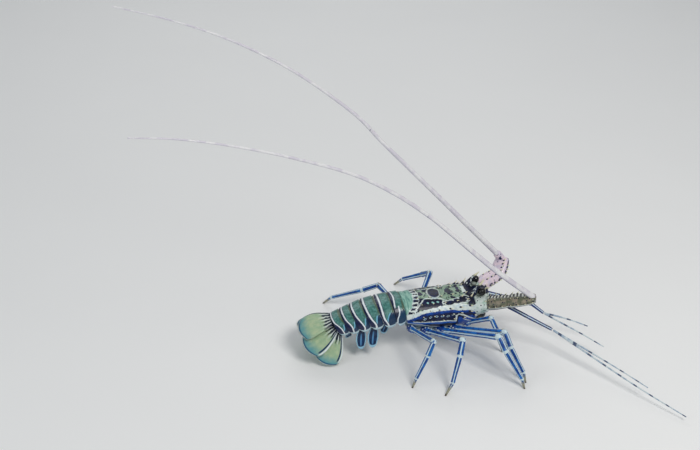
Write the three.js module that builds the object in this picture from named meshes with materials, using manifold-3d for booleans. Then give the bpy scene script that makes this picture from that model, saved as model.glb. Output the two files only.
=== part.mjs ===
// A painted spiny lobster at life size, standing on the tips of its ten legs.
// Millimetres: +X runs towards the head, +Y to the animal's left, +Z up, floor at Z = 0.
// The carapace's rear edge is the plane X = 0 while the body is laid out, and the
// whole group is then moved so that its origin is the middle of its footprint.
import * as THREE from "three";
import { mergeVertices } from "three/addons/utils/BufferGeometryUtils.js";
import ManifoldModule from "manifold-3d";

const wasm = await ManifoldModule();
wasm.setup();

// Sizes that drive the body
const GAP = 0.35;
const AXIS_Z = 46.5;
const CARAPACE_LENGTH = 88;
const CARAPACE_HALF_WIDTH = 27.5;
const CARAPACE_RISE = 19.6;
const CARAPACE_DROP = 23.5;
const HEAD_END = 104;
const HORN_BASE = [79, 10.5, 60];
const HORN_TIP = [95.5, 9.3, 81];
const EYE_CENTRE = [92, 13.3, 68];
const EYE_RADIUS = 4.8;
const SOCKET_BASE = [80, 13, 48.5];
const SOCKET_END = [98, 18.6, 54];
const SOCKET_RADIUS = 10.6;
const PEDUNCLE_HALF_WIDTH = 10.5;
const PEDUNCLE_HALF_HEIGHT = 7.2;
const WHIP_RADIUS = 3.5;
const WHIP_TIP_RADIUS = 0.7;
const ABDOMEN_HALF_WIDTH = 25.5;
const ABDOMEN_RISE = 18.8;
const FAN_THICKNESS = 1.5;
const LEG_RADIUS = 3.6;
const FOOT_RADIUS = 0.9;
const SPINE_SIDES = 4;
const SPINE_SINK = 1.2;
const TINY = 1e-4;

// The two grooves across the carapace: the deep one starts at mid length on the
// ridge and sweeps forward down each side, the shallow one follows the rear edge
const GROOVE = { ridge: 46, sweep: 16, depth: 1.5, half: 2.6 };
const RIM_GROOVE = { x: 6, depth: 0.9, half: 1.8 };

// Colours of the animal
const BLACK_BLUE = 0x14243c;
const DEEP_BLUE = 0x1d4f8c;
const TEAL = 0x4b877d;
const PALE = 0xdfe8e4;
const PINK = 0xdcd2de;
const FAN_GREEN = 0x9fc3a6;
const EYE_BLACK = 0x15171c;

const V = (x, y, z) => new THREE.Vector3(x, y, z);
const of3 = (a, side = 1) => V(a[0], a[1] * side, a[2]);
const mix = THREE.MathUtils.lerp;

function seeded(seed) {
  let s = seed;
  return () => {
    s = (s * 1664525 + 1013904223) % 4294967296;
    return s / 4294967296;
  };
}

// Smooth value at s of a table of [place, value] rows
function along(table, s) {
  const n = table.length;
  if (s <= table[0][0]) return table[0][1];
  if (s >= table[n - 1][0]) return table[n - 1][1];
  let i = 0;
  while (s > table[i + 1][0]) i += 1;
  const slope = (k) => {
    const a = Math.max(k - 1, 0);
    const b = Math.min(k + 1, n - 1);
    return (table[b][1] - table[a][1]) / (table[b][0] - table[a][0]);
  };
  const h = table[i + 1][0] - table[i][0];
  const t = (s - table[i][0]) / h;
  const t2 = t * t;
  const t3 = t2 * t;
  return (2 * t3 - 3 * t2 + 1) * table[i][1] + (t3 - 2 * t2 + t) * h * slope(i)
    + (3 * t2 - 2 * t3) * table[i + 1][1] + (t3 - t2) * h * slope(i + 1);
}

const power = (v, p) => Math.sign(v) * Math.abs(v) ** p;

// A solid from the vertices and triangles of one closed surface
function solid(points, triangles) {
  let volume = 0;
  for (let i = 0; i < triangles.length; i += 3) {
    const [a, b, c] = [points[triangles[i]], points[triangles[i + 1]], points[triangles[i + 2]]];
    volume += a.dot(b.clone().cross(c));
  }
  const order = volume > 0 ? triangles : triangles.slice().reverse();
  const numbers = points.flatMap((p) => [p.x, p.y, p.z]);
  const geometry = new THREE.BufferGeometry();
  geometry.setAttribute("position", new THREE.Float32BufferAttribute(numbers, 3));
  geometry.setIndex(order);
  return closed(geometry);
}

// A surface with its doubled vertices welded, as a solid
function closed(geometry) {
  const welded = mergeVertices(geometry, TINY);
  return new wasm.Manifold(new wasm.Mesh({
    numProp: 3,
    vertProperties: new Float32Array(welded.attributes.position.array),
    triVerts: new Uint32Array(welded.index.array),
  }));
}

// A ball, stretched and set in place
function ball(centre, radius, stretch) {
  const geometry = new THREE.SphereGeometry(radius, 14, 10);
  geometry.deleteAttribute("normal");
  geometry.deleteAttribute("uv");
  geometry.scale(...stretch);
  geometry.translate(...centre.toArray());
  return closed(geometry);
}

// Rings of equal length joined into a closed body, with a fan over each end
function skin(rings) {
  const n = rings[0].length;
  const points = rings.flat();
  const triangles = [];
  for (let i = 0; i + 1 < rings.length; i += 1) {
    for (let j = 0; j < n; j += 1) {
      const k = (j + 1) % n;
      const [a, b, c, d] = [i * n + j, i * n + k, (i + 1) * n + k, (i + 1) * n + j];
      triangles.push(a, b, c, a, c, d);
    }
  }
  const cap = (ring, start, flip) => {
    const centre = ring.reduce((sum, p) => sum.add(p), V(0, 0, 0)).multiplyScalar(1 / n);
    points.push(centre);
    const m = points.length - 1;
    for (let j = 0; j < n; j += 1) {
      const k = (j + 1) % n;
      if (flip) triangles.push(start + k, start + j, m);
      else triangles.push(start + j, start + k, m);
    }
  };
  cap(rings[0], 0, true);
  cap(rings[rings.length - 1], (rings.length - 1) * n, false);
  return solid(points, triangles);
}

// Frames carried along a line of points without twist
function frames(points) {
  const up = V(0, 0, 1);
  const list = [];
  let side = null;
  points.forEach((p, i) => {
    const before = points[Math.max(i - 1, 0)];
    const after = points[Math.min(i + 1, points.length - 1)];
    const t = after.clone().sub(before).normalize();
    side = side === null ? up.clone().cross(t) : side.clone();
    side.addScaledVector(t, -side.dot(t)).normalize();
    list.push({ p, t, side, up: t.clone().cross(side) });
  });
  return list;
}

// A rod of elliptic section: each row of stations is [point, half width, half height]
function rod(stations, sides = 8) {
  const fs = frames(stations.map((s) => s[0]));
  return skin(fs.map((f, i) => {
    const [, a, b = a] = stations[i];
    return Array.from({ length: sides }, (_, j) => {
      const w = (2 * Math.PI * j) / sides;
      return f.p.clone().addScaledVector(f.side, a * Math.cos(w)).addScaledVector(f.up, b * Math.sin(w));
    });
  }));
}

// A sharp spine: a thin cone with its root sunk below the surface point
function spine(root, direction, length, radius) {
  const sides = SPINE_SIDES;
  const d = direction.clone().normalize();
  const sink = Math.min(SPINE_SINK, length * 0.4);
  const steep = Math.abs(d.z) >= 0.9;
  const side = V(steep ? 1 : 0, 0, steep ? 0 : 1).cross(d).normalize();
  const up = d.clone().cross(side);
  const foot = root.clone().addScaledVector(d, -sink);
  const points = [];
  for (let j = 0; j < sides; j += 1) {
    const w = (2 * Math.PI * j) / sides + 0.3;
    const p = foot.clone().addScaledVector(side, radius * Math.cos(w));
    points.push(p.addScaledVector(up, radius * Math.sin(w)));
  }
  points.push(root.clone().addScaledVector(d, length));
  const triangles = [];
  for (let j = 0; j < sides; j += 1) triangles.push(j, (j + 1) % sides, sides);
  for (let j = 1; j + 1 < sides; j += 1) triangles.push(0, j + 1, j);
  return solid(points, triangles);
}

// A leaf: a grid of middle points with a thickness across, the same split on both faces
function leaf(middle, rows, columns, thick) {
  const grid = [];
  for (let i = 0; i <= rows; i += 1) {
    for (let j = 0; j <= columns; j += 1) grid.push(middle(i / rows, (2 * j) / columns - 1));
  }
  const at = (i, j) => i * (columns + 1) + j;
  const normals = grid.map((_, k) => {
    const i = Math.floor(k / (columns + 1));
    const j = k % (columns + 1);
    const du = grid[at(Math.min(i + 1, rows), j)].clone().sub(grid[at(Math.max(i - 1, 0), j)]);
    const dv = grid[at(i, Math.min(j + 1, columns))].clone().sub(grid[at(i, Math.max(j - 1, 0))]);
    return dv.cross(du).normalize();
  });
  const half = (k) => {
    const i = Math.floor(k / (columns + 1));
    const j = k % (columns + 1);
    return thick(i / rows, (2 * j) / columns - 1) / 2;
  };
  const points = [
    ...grid.map((p, k) => p.clone().addScaledVector(normals[k], half(k))),
    ...grid.map((p, k) => p.clone().addScaledVector(normals[k], -half(k))),
  ];
  const low = grid.length;
  const triangles = [];
  for (let i = 0; i < rows; i += 1) {
    for (let j = 0; j < columns; j += 1) {
      const [a, b, c, d] = [at(i, j), at(i, j + 1), at(i + 1, j + 1), at(i + 1, j)];
      triangles.push(a, b, c, a, c, d);
      triangles.push(low + a, low + c, low + b, low + a, low + d, low + c);
    }
  }
  const rim = [];
  for (let j = 0; j < columns; j += 1) rim.push(at(0, j));
  for (let i = 0; i < rows; i += 1) rim.push(at(i, columns));
  for (let j = columns; j > 0; j -= 1) rim.push(at(rows, j));
  for (let i = rows; i > 0; i -= 1) rim.push(at(i, 0));
  rim.forEach((a, k) => {
    const b = rim[(k + 1) % rim.length];
    triangles.push(b, a, low + a, b, low + a, low + b);
  });
  return solid(points, triangles);
}

const join = (first, ...rest) => rest.flat().reduce((all, one) => all.add(one), first);
const cut = (body, ...others) => others.flat().reduce((all, one) => all.subtract(one), body);

// The biggest closed surface of a solid
function largest(body) {
  const parts = body.decompose();
  return parts.reduce((best, one) => (one.volume() > best.volume() ? one : best));
}

const lobster = new THREE.Group();
const placed = new THREE.Group();
lobster.add(placed);

function add(name, body, color, roughness = 0.4) {
  const mesh = largest(body).simplify(0.01).getMesh();
  const numbers = new Float32Array(mesh.vertProperties);
  const geometry = new THREE.BufferGeometry();
  geometry.setAttribute("position", new THREE.BufferAttribute(numbers, 3));
  geometry.setIndex(Array.from(mesh.triVerts));
  const material = new THREE.MeshStandardMaterial({ color, roughness, metalness: 0 });
  const object = new THREE.Mesh(geometry, material);
  object.name = name;
  placed.add(object);
}

// The carapace is a stack of rounded rings round a level axis. Each ring leans back
// a little at the rear, and two grooves cross the shell: the deep cervical one at
// mid length, and a shallow one just inside the rear edge.
const SHELL_WIDTH = [
  [0, 0.86], [6, 0.9], [20, 0.97], [40, 1], [58, 0.99], [72, 0.95], [82, 0.86], [88, 0.7],
];
const SHELL_RISE = [
  [0, 1.02], [8, 1.03], [25, 1.01], [45, 1], [70, 1.02], [80, 0.96], [85, 0.84], [88, 0.7],
];
const SHELL_DROP = [[0, 0.5], [8, 0.68], [20, 0.84], [35, 0.96], [55, 1], [78, 1.02], [88, 0.78]];
const SHELL_LEAN = [[0, 8], [20, 4], [45, 0], [88, 0]];

// Where the deep groove crosses, from the ridge (side 0) to the belly (side 1)
const grooveX = (side) => GROOVE.ridge + GROOVE.sweep * Math.min(side / 0.5, 1) ** 1.4;

// A point of the shell: its place along the body, its angle from the ridge, and how
// far it stands off the surface
function shellPoint(x, angle, out = 0) {
  const side = Math.abs(angle) / Math.PI;
  const w = CARAPACE_HALF_WIDTH * along(SHELL_WIDTH, x);
  const up = CARAPACE_RISE * along(SHELL_RISE, x);
  const down = CARAPACE_DROP * along(SHELL_DROP, x);
  const y = w * power(Math.sin(angle), 0.94);
  const z = (Math.cos(angle) > 0 ? up : down) * power(Math.cos(angle), 0.94);
  const fade = 1 - THREE.MathUtils.smoothstep(side, 0.44, 0.62);
  const deep = GROOVE.depth * Math.exp(-(((x - grooveX(side)) / GROOVE.half) ** 2));
  const shallow = RIM_GROOVE.depth * Math.exp(-(((x - RIM_GROOVE.x) / RIM_GROOVE.half) ** 2));
  const dip = fade * (deep + shallow);
  const r = Math.hypot(y, z);
  const k = (r - dip + out) / r;
  const lean = THREE.MathUtils.degToRad(along(SHELL_LEAN, x));
  return V(x - Math.sin(lean) * z * k, y * k, AXIS_Z + Math.cos(lean) * z * k);
}

function shell(out = 0, around = 36) {
  const stations = [0, 3, 5, 6.5, 8.5, 14, 21, 28, 35, 41, 45, 48, 52, 57, 61, 65, 70, 75, 80, 84, 88];
  const last = stations.length - 1;
  return skin(stations.map((x, i) => {
    const spread = (i === 0 ? -out : 0) + (i === last ? out : 0);
    return Array.from({ length: around }, (_, j) => {
      const p = shellPoint(x, -Math.PI + (2 * Math.PI * (j + 0.5)) / around, out);
      p.x += spread;
      return p;
    });
  }));
}

// The front of the head below the eyes: mouth frame, the two stout antenna sockets
// and the plate between them. Each row is [x, half width, top, bottom].
const HEAD_ROWS = [
  [74, 15, 58, 25],
  [85, 16, 63, 27],
  [93, 13.5, 64.5, 34],
  [HEAD_END - 4, 12, 64.5, 41],
  [HEAD_END, 9.5, 61, 46],
];

function headBlock(out = 0) {
  const last = HEAD_ROWS.length - 1;
  const block = skin(HEAD_ROWS.map(([x, w, top, bottom], i) => {
    const c = (top + bottom) / 2;
    const h = (top - bottom) / 2;
    const spread = (i === 0 ? -out : 0) + (i === last ? out : 0);
    return Array.from({ length: 16 }, (_, j) => {
      const a = (2 * Math.PI * (j + 0.5)) / 16;
      const y = (w + out) * power(Math.sin(a), 0.8);
      return V(x + spread, y, c + (h + out) * power(Math.cos(a), 0.8));
    });
  }));
  const sockets = [-1, 1].map((s) => {
    const a = of3(SOCKET_BASE, s);
    const b = of3(SOCKET_END, s);
    const d = b.clone().sub(a).normalize();
    return rod([
      [a, SOCKET_RADIUS + out, SOCKET_RADIUS + out],
      [a.clone().lerp(b, 0.6), SOCKET_RADIUS + 0.5 + out, SOCKET_RADIUS + out],
      [b.clone().addScaledVector(d, out), SOCKET_RADIUS - 0.4 + out, SOCKET_RADIUS - 1.6 + out],
    ], 14);
  });
  return join(block, sockets);
}

// The tall curved horn over each eye
function horn(side, out = 0) {
  const a = of3(HORN_BASE, side);
  const b = of3(HORN_TIP, side);
  const low = a.clone().lerp(b, 0.35).add(V(-0.6, 0.5 * side, 0.9));
  const high = a.clone().lerp(b, 0.7).add(V(-0.8, 0.5 * side, 1));
  const rows = [[a, 4.4, 3.8], [low, 3.3, 2.9], [high, 1.9, 1.7], [b, 0.4, 0.35]];
  return rod(rows.map(([p, wide, tall]) => [p, wide + out, tall + out]), 6);
}

function carapaceCore(out) {
  return join(shell(out, out ? 24 : 36), headBlock(out), [-1, 1].map((s) => horn(s, out)));
}

// Rows of small spines that lean forward: [share of the way round, step along], and
// the tall ones of the head: [root, direction, length, radius], given for the left
const SPINE_ROWS = [[0.09, 14], [0.21, 13], [0.33, 12], [0.43, 11], [0.52, 13]];
const HEAD_SPINES = [
  [shellPoint(77, 0.2 * Math.PI), [0.55, 0.1, 1], 9, 2],
  [shellPoint(66, 0.17 * Math.PI), [0.7, 0.1, 0.9], 7, 1.7],
  [V(84, 20, 57), [1, 0.35, 0.5], 6, 1.6],
  [V(83, 22.5, 51), [1, 0.55, 0.3], 5, 1.5],
  [V(97, 6.6, 64.2), [0.55, 0.2, 1], 8, 1.7],
  [V(101.5, 3.4, 63), [0.9, 0.2, 0.9], 5, 1.3],
  [V(92, 22.5, 60), [0.9, 0.5, 0.6], 4.5, 1.4],
];

function carapaceSpines() {
  const random = seeded(7);
  const list = [];
  for (const side of [-1, 1]) {
    SPINE_ROWS.forEach(([turn, step], r) => {
      for (let x = 15 + 4 * (r % 2); x < 84; x += step) {
        const place = x + 2.4 * (random() - 0.5);
        const a = side * Math.PI * (turn + 0.018 * (random() - 0.5));
        if (Math.abs(place - grooveX(turn)) < GROOVE.half + 0.6) continue;
        const root = shellPoint(place, a);
        const outward = root.clone().sub(V(place, 0, AXIS_Z)).normalize();
        const length = 1.8 + 3.6 * (place / CARAPACE_LENGTH) ** 2 + 0.8 * random();
        const lean = V(1.05, 0, 0).addScaledVector(outward, 0.75);
        list.push(spine(root, lean, length, 0.75 + 0.16 * length));
      }
    });
    for (const [root, lean, length, radius] of HEAD_SPINES) {
      list.push(spine(V(root.x, root.y * side, root.z), of3(lean, side), length, radius));
    }
  }
  return list;
}

const SIDES = { right: -1, left: 1 };

// A round eye on a short stalk that leaves the head block
function eyeSolid(side, out = 0) {
  const c = of3(EYE_CENTRE, side);
  const root = c.clone().add(V(-3.2, -4.4 * side, -5.2));
  return join(ball(c, EYE_RADIUS + out, [1.05, 0.95, 1]), rod([[root, 3.3 + out], [c, 3.6 + out]], 8));
}

// Two free joints of each antenna's stalk, broad and flattened, then the whip
const ANTENNAE = {
  right: {
    side: -1,
    elbow: [121, -32, 63.5],
    end: [147, -43.5, 71.5],
    whip: [
      [144.1, -43.2, 73.6], [99.7, -47.6, 115.4], [73.7, -50.2, 142.3], [36.2, -54, 182.5],
      [12.3, -56.4, 207.2], [-27.8, -60.4, 242.5], [-73.2, -64.9, 273.5], [-133.8, -71, 302.3],
      [-191.7, -76.8, 324.9], [-247.3, -82.3, 341.9], [-293.1, -86.9, 350.7],
    ],
    split: 0.36,
    color: 0x77806f,
  },
  left: {
    side: 1,
    elbow: [126, 29.5, 59.5],
    end: [136.5, 43.2, 73.4],
    whip: [
      [128.6, 41.8, 80.2], [93.8, 48.7, 118.4], [57, 56.1, 159.5], [21.5, 63.2, 198.7],
      [-10, 69.5, 233.7], [-42.9, 76.1, 271.2], [-106, 88.7, 321.6], [-167.4, 101, 356.6],
      [-227.7, 113, 380.5], [-294.1, 126.3, 398.9],
    ],
    split: 0.42,
    color: PINK,
  },
};

// The stalk runs from the socket past an elbow to its end; s goes from 0 to 1 along it
function stalkAxis(antenna) {
  return [of3(SOCKET_END, antenna.side), of3(antenna.elbow), of3(antenna.end)];
}

function stalkPoint(antenna, s) {
  const [a, b, c] = stalkAxis(antenna);
  return s < 0.5 ? a.lerp(b, s * 2) : b.lerp(c, s * 2 - 1);
}

const STALK_WIDTH = [[0, 0.92], [0.2, 1], [0.42, 0.96], [0.6, 1], [0.85, 0.95], [1, 0.76]];
const STALK_HEIGHT = [[0, 1.05], [0.2, 1.06], [0.42, 0.94], [0.6, 0.94], [0.85, 0.8], [1, 0.64]];

// Where the two joints of a stalk start and end along it
const STALK_JOINTS = [[0.012, 0.47], [0.478, 1]];
const STALK_SPINE_SEEDS = [3, 5];

function stalk(antenna, joint, out = 0) {
  const [from, to] = STALK_JOINTS[joint];
  const count = 4;
  const d = stalkPoint(antenna, to).sub(stalkPoint(antenna, from)).normalize();
  return rod(Array.from({ length: count + 1 }, (_, i) => {
    const s = mix(from, to, i / count);
    const spread = (i === 0 ? -out : 0) + (i === count ? out : 0);
    const wide = PEDUNCLE_HALF_WIDTH * along(STALK_WIDTH, s);
    const high = PEDUNCLE_HALF_HEIGHT * along(STALK_HEIGHT, s);
    return [stalkPoint(antenna, s).addScaledVector(d, spread), wide + out, high + out];
  }), 12);
}

// Four rows of spines along a joint of a stalk, the two inner rows longer and closer.
// Angle 0 is the animal's left edge of the stalk, 90 its top.
function stalkSpines(antenna, joint) {
  const [from, to] = STALK_JOINTS[joint];
  const f = frames([stalkPoint(antenna, from), stalkPoint(antenna, to)])[0];
  const random = seeded(STALK_SPINE_SEEDS[joint]);
  const list = [];
  for (const degrees of [4, 62, 118, 176]) {
    const inner = antenna.side < 0 ? degrees < 90 : degrees > 90;
    const step = inner ? 0.11 : 0.14;
    const w = THREE.MathUtils.degToRad(degrees);
    for (let s = from + 0.06; s < to - 0.05; s += step) {
      const wide = PEDUNCLE_HALF_WIDTH * along(STALK_WIDTH, s) * Math.cos(w);
      const high = PEDUNCLE_HALF_HEIGHT * along(STALK_HEIGHT, s) * Math.sin(w);
      const root = stalkPoint(antenna, s).addScaledVector(f.side, wide).addScaledVector(f.up, high);
      const outward = f.side.clone().multiplyScalar(Math.cos(w)).addScaledVector(f.up, Math.sin(w));
      const length = 2.6 + 1.2 * random() + (inner ? 0.8 : 0);
      list.push(spine(root, outward.addScaledVector(f.t, 0.9), length, 1.2));
    }
  }
  return list;
}

const through = (points) => new THREE.CatmullRomCurve3(points.map((p) => of3(p)), false, "centripetal");

function whip(antenna, from, to, count, out = 0) {
  const curve = through(antenna.whip);
  return rod(Array.from({ length: count + 1 }, (_, i) => {
    const s = mix(from, to, i / count);
    const r = mix(WHIP_RADIUS, WHIP_TIP_RADIUS, s ** 0.85);
    return [curve.getPointAt(s), r + out];
  }), 8);
}

// The swivel at the end of a stalk: a short knuckle with a cup that holds the whip's root
const SWIVEL_START = 0.93;
const SWIVEL_RADII = [4.6, 4.9, 4.8, 4.2];
const SWIVEL_LIP = 2;

function swivel(antenna) {
  const [root, next] = antenna.whip.map((p) => of3(p));
  const inside = stalkPoint(antenna, SWIVEL_START);
  const lip = root.clone().addScaledVector(next.sub(root).normalize(), SWIVEL_LIP);
  const path = [inside, inside.clone().lerp(root, 0.5), root, lip];
  return rod(path.map((p, i) => [p, SWIVEL_RADII[i]]), 10);
}

// The antennules: a thin jointed stalk and two lashes each, both swung to the right
const ANTENNULES = {
  right: {
    stalk: [[102, -5, 53], [122, -23, 49.5], [141, -41, 44], [167.8, -53.7, 30.6]],
    outer: [[167.8, -53.7, 30.6], [200, -101, 21], [235, -153, 12], [269, -203, 6]],
    inner: [[167.8, -53.7, 30.6], [195, -90, 25], [222, -127, 19.5], [243, -158, 15]],
  },
  left: {
    stalk: [[102, 5, 53], [131, -2, 45.5], [158, -9, 37], [171, -16, 27]],
    outer: [[171, -16, 27], [186, -22, 24.5], [202, -31, 22], [218, -42, 19]],
    inner: [[171, -16, 27], [187, -36, 24], [204, -58, 21.5], [221, -83, 19]],
  },
};

const ANTENNULE_RADII = [2.9, 2.5, 2.3, 1.9];
const LASH = { outer: [1.25, 0.6, 7], inner: [1.15, 0.6, 6] };

// Three joints in line, each a little thicker at its ends than at its middle
function antennuleStalk(a, out = 0) {
  const p = a.stalk.map((q) => of3(q));
  const stations = [];
  for (let i = 0; i + 1 < p.length; i += 1) {
    const [r0, r1] = [ANTENNULE_RADII[i], ANTENNULE_RADII[i + 1]];
    const grow = i === 0 ? 0 : 0.25;
    stations.push([p[i].clone().lerp(p[i + 1], i === 0 ? 0 : 0.06), r0 + grow + out]);
    stations.push([p[i].clone().lerp(p[i + 1], 0.5), mix(r0, r1, 0.5) - 0.15 + out]);
    stations.push([p[i].clone().lerp(p[i + 1], 0.94), r1 + 0.2 + out]);
  }
  return rod(stations, 8);
}

function lash(a, kind, out = 0) {
  const [r0, r1, count] = LASH[kind];
  const curve = through(a[kind]);
  return rod(Array.from({ length: count + 1 }, (_, i) => {
    const s = i / count;
    return [curve.getPointAt(s), mix(r0, r1, s) + out];
  }), 6);
}

// Legs: the hip, knee, wrist, ankle and toe of each, as they stand in the pose
const LEGS = {
  right_1: {
    size: 0.86,
    joints: [[72, -15, 27], [97.5, -37, 46], [103.6, -40.5, 31], [109.5, -44, 10], [111.5, -45, 0]],
  },
  right_2: {
    size: 1,
    joints: [
      [54, -16.5, 24.5], [103, -70, 48.5], [106.5, -82, 36], [118.5, -99, 10], [119.8, -104.5, 0],
    ],
  },
  right_3: {
    size: 1,
    joints: [
      [38, -17.5, 24.5], [92.5, -79.8, 51.3], [97.3, -91.3, 38.8], [113.5, -109, 9], [115, -114.3, 0],
    ],
  },
  right_4: {
    size: 1,
    joints: [
      [21, -18, 27], [50.4, -78.7, 52.3], [44.7, -88.3, 38.8], [34, -100, 10], [23.8, -107.5, 0],
    ],
  },
  right_5: {
    size: 0.92,
    joints: [
      [4.5, -17.5, 32.5], [17.8, -74.3, 52.4], [10.4, -78.3, 36.7], [-4, -83.5, 10], [-8.9, -86.2, 0],
    ],
  },
  left_1: {
    size: 0.86,
    joints: [[72, 15, 27], [97, 31, 33], [103, 36, 25], [111, 42, 9], [113, 44, 0]],
  },
  left_2: {
    size: 1,
    joints: [[54, 16.5, 24.5], [86, 49, 29], [90, 59, 21], [95, 73, 7], [96, 77, 0]],
  },
  left_3: {
    size: 1,
    joints: [[38, 17.5, 24.5], [72, 58, 28.5], [73, 69, 20], [72, 83, 8], [71, 88, 0]],
  },
  left_4: {
    size: 1,
    joints: [[21, 18, 27], [54.1, 73.8, 42.4], [48.4, 88, 31], [28, 107, 14], [20, 117, 0]],
  },
  left_5: {
    size: 0.92,
    joints: [[4.5, 17.5, 32.5], [-12.5, 71, 35], [-31, 75, 27.5], [-68, 89, 12], [-77, 95.5, 0]],
  },
};

// How thick each half of a leg is along it, in leg radii: the upper half from hip to
// knee as [share, radius], the lower half as [joint, share of the way to the next, radius]
const LEG_UPPER_ROWS = [
  [0, 1.45], [0.12, 1.42], [0.16, 1.15], [0.2, 1.1], [0.24, 0.9], [0.45, 0.94], [0.8, 0.98],
  [0.93, 1.08], [1.01, 1.0],
];
const LEG_LOWER_ROWS = [
  [1, -0.04, 0.8], [1, 0.25, 0.92], [1, 0.82, 0.98], [1, 0.99, 0.84], [2, 0.12, 0.84],
  [2, 0.6, 0.7], [2, 0.97, 0.62], [3, 0.08, 0.5], [3, 0.6, 0.36],
];

function legUpper(leg, out = 0) {
  const [hip, knee] = leg.joints.map((p) => of3(p));
  const r = LEG_RADIUS * leg.size;
  const station = ([s, k]) => [hip.clone().lerp(knee, s), r * k * 0.9 + out, r * k + out];
  return rod(LEG_UPPER_ROWS.map(station), 8);
}

// The lower half runs on below the floor and is trimmed there, so it stands on a flat
function legLower(leg) {
  const joints = leg.joints.map((p) => of3(p));
  const [ankle, toe] = joints.slice(3);
  const r = LEG_RADIUS * leg.size;
  const below = toe.clone().addScaledVector(toe.clone().sub(ankle), 0.25);
  const stations = LEG_LOWER_ROWS.map(([i, s, k]) => [joints[i].clone().lerp(joints[i + 1], s), r * k]);
  stations.push([toe, FOOT_RADIUS], [below, FOOT_RADIUS * 0.9]);
  return rod(stations, 8).trimByPlane([0, 0, 1], 0);
}

// The breast plate that carries the hips: each row is [x, half width, z, half height]
const STERNUM_ROWS = [
  [2, 14, 33, 4], [10, 15, 30, 5], [30, 15, 25, 6], [55, 12, 22.5, 5.5], [74, 8, 22.5, 4.5],
];

function sternumPlate(out = 0) {
  const last = STERNUM_ROWS.length - 1;
  return skin(STERNUM_ROWS.map(([x, w, z, h], i) => {
    const spread = (i === 0 ? -out : 0) + (i === last ? out : 0);
    return Array.from({ length: 12 }, (_, j) => {
      const a = (2 * Math.PI * (j + 0.5)) / 12;
      const y = (w + out) * power(Math.sin(a), 0.7);
      return V(x + spread, y, z + (h + out) * power(Math.cos(a), 0.7));
    });
  }));
}

// The abdomen: each ring is [x, z of its ridge, lean in degrees, width and height scale]
const SOMITE_EDGES = [
  [-3.2, 67.4, 8, 0.94, 0.96],
  [-16, 67, 11, 0.98, 1],
  [-33, 64.9, 17, 0.97, 0.96],
  [-49.2, 61.8, 21, 0.93, 0.91],
  [-62.8, 57.4, 24, 0.86, 0.85],
  [-74.6, 53.2, 26, 0.79, 0.78],
  [-86, 49.2, 28, 0.68, 0.7],
];
// Each ring's side hangs in a tooth, and its front slips under the ring before it
const PLEURON = [[0, 0.2], [0.25, 0.7], [0.6, 1], [0.85, 0.75], [1, 0.2]];
const PLEURON_DROP = 7.5;
const TUCK = 1.1;
const TUCK_SHARE = 0.12;

function somiteRing(index, s, out) {
  const [a, b] = [SOMITE_EDGES[index - 1], SOMITE_EDGES[index]];
  const [x, z, lean, wide, high] = a.map((v, k) => mix(v, b[k], s));
  const step = s < TUCK_SHARE ? -TUCK : 0;
  const w = ABDOMEN_HALF_WIDTH * wide + step + out;
  const h = ABDOMEN_RISE * high + step + out;
  const t = THREE.MathUtils.degToRad(lean);
  const up = V(-Math.sin(t), 0, Math.cos(t));
  const c = V(x, 0, z).addScaledVector(up, -ABDOMEN_RISE * high);
  const tooth = PLEURON_DROP * high * along(PLEURON, s) + out;
  const ring = [];
  const arch = 18;
  for (let i = 0; i <= arch; i += 1) {
    const angle = -Math.PI / 2 + (Math.PI * i) / arch;
    const y = w * power(Math.sin(angle), 0.9);
    ring.push(c.clone().add(V(0, y, 0)).addScaledVector(up, h * power(Math.cos(angle), 0.9)));
  }
  const under = [
    [0.985, -tooth], [0.86, -tooth - 0.4], [0.72, -2.2 - out], [0.4, -3.4 - out], [0, -3.8 - out],
  ];
  const belly = under.concat(under.slice(0, -1).reverse().map(([u, v]) => [-u, v]));
  for (const [u, v] of belly) ring.push(c.clone().add(V(0, w * u, 0)).addScaledVector(up, v));
  return ring;
}

function somite(index, out = 0) {
  const [a, b] = [SOMITE_EDGES[index - 1], SOMITE_EDGES[index]];
  const long = Math.hypot(b[0] - a[0], b[1] - a[1]);
  const start = (index === 1 ? 0 : GAP) / long;
  const places = [start - out / long, 0.16, 0.35, 0.6, 0.82, 1 + out / long];
  return skin(places.map((s) => somiteRing(index, s, out)));
}

// The tail fan: the telson on the middle line and two blades each side, spread like
// an open umbrella that droops at its sides and is rolled a little, left side up.
// Each blade has a root, a tip, its half width near the root and at its widest, and
// the number of steps that it lies below the telson.
const FAN_ROLL = THREE.MathUtils.degToRad(12);
const FAN_PIVOT = V(-84, 0, 44);
const FAN_AXIS = V(-0.96, 0, -0.28).normalize();
const FAN_HUB = V(-78, 0, 20);
const FAN_STEP = 2.3;
const FAN_SHOULDER = 0.72;
const FAN_RIBS = 5;
const BLADES = {
  telson: { root: [-84.5, 0, 46.5], tip: [-123.8, 0, 36], near: 8, wide: 17, level: 0 },
  inner: { root: [-82, 9, 41.5], tip: [-120.8, 22, 28], near: 5.5, wide: 16.5, level: 1 },
  outer: { root: [-80.5, 13, 36.5], tip: [-102, 38.5, 15.5], near: 5.5, wide: 16, level: 2 },
};

const rolled = (p) => p.clone().sub(FAN_PIVOT).applyAxisAngle(FAN_AXIS, -FAN_ROLL).add(FAN_PIVOT);

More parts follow.
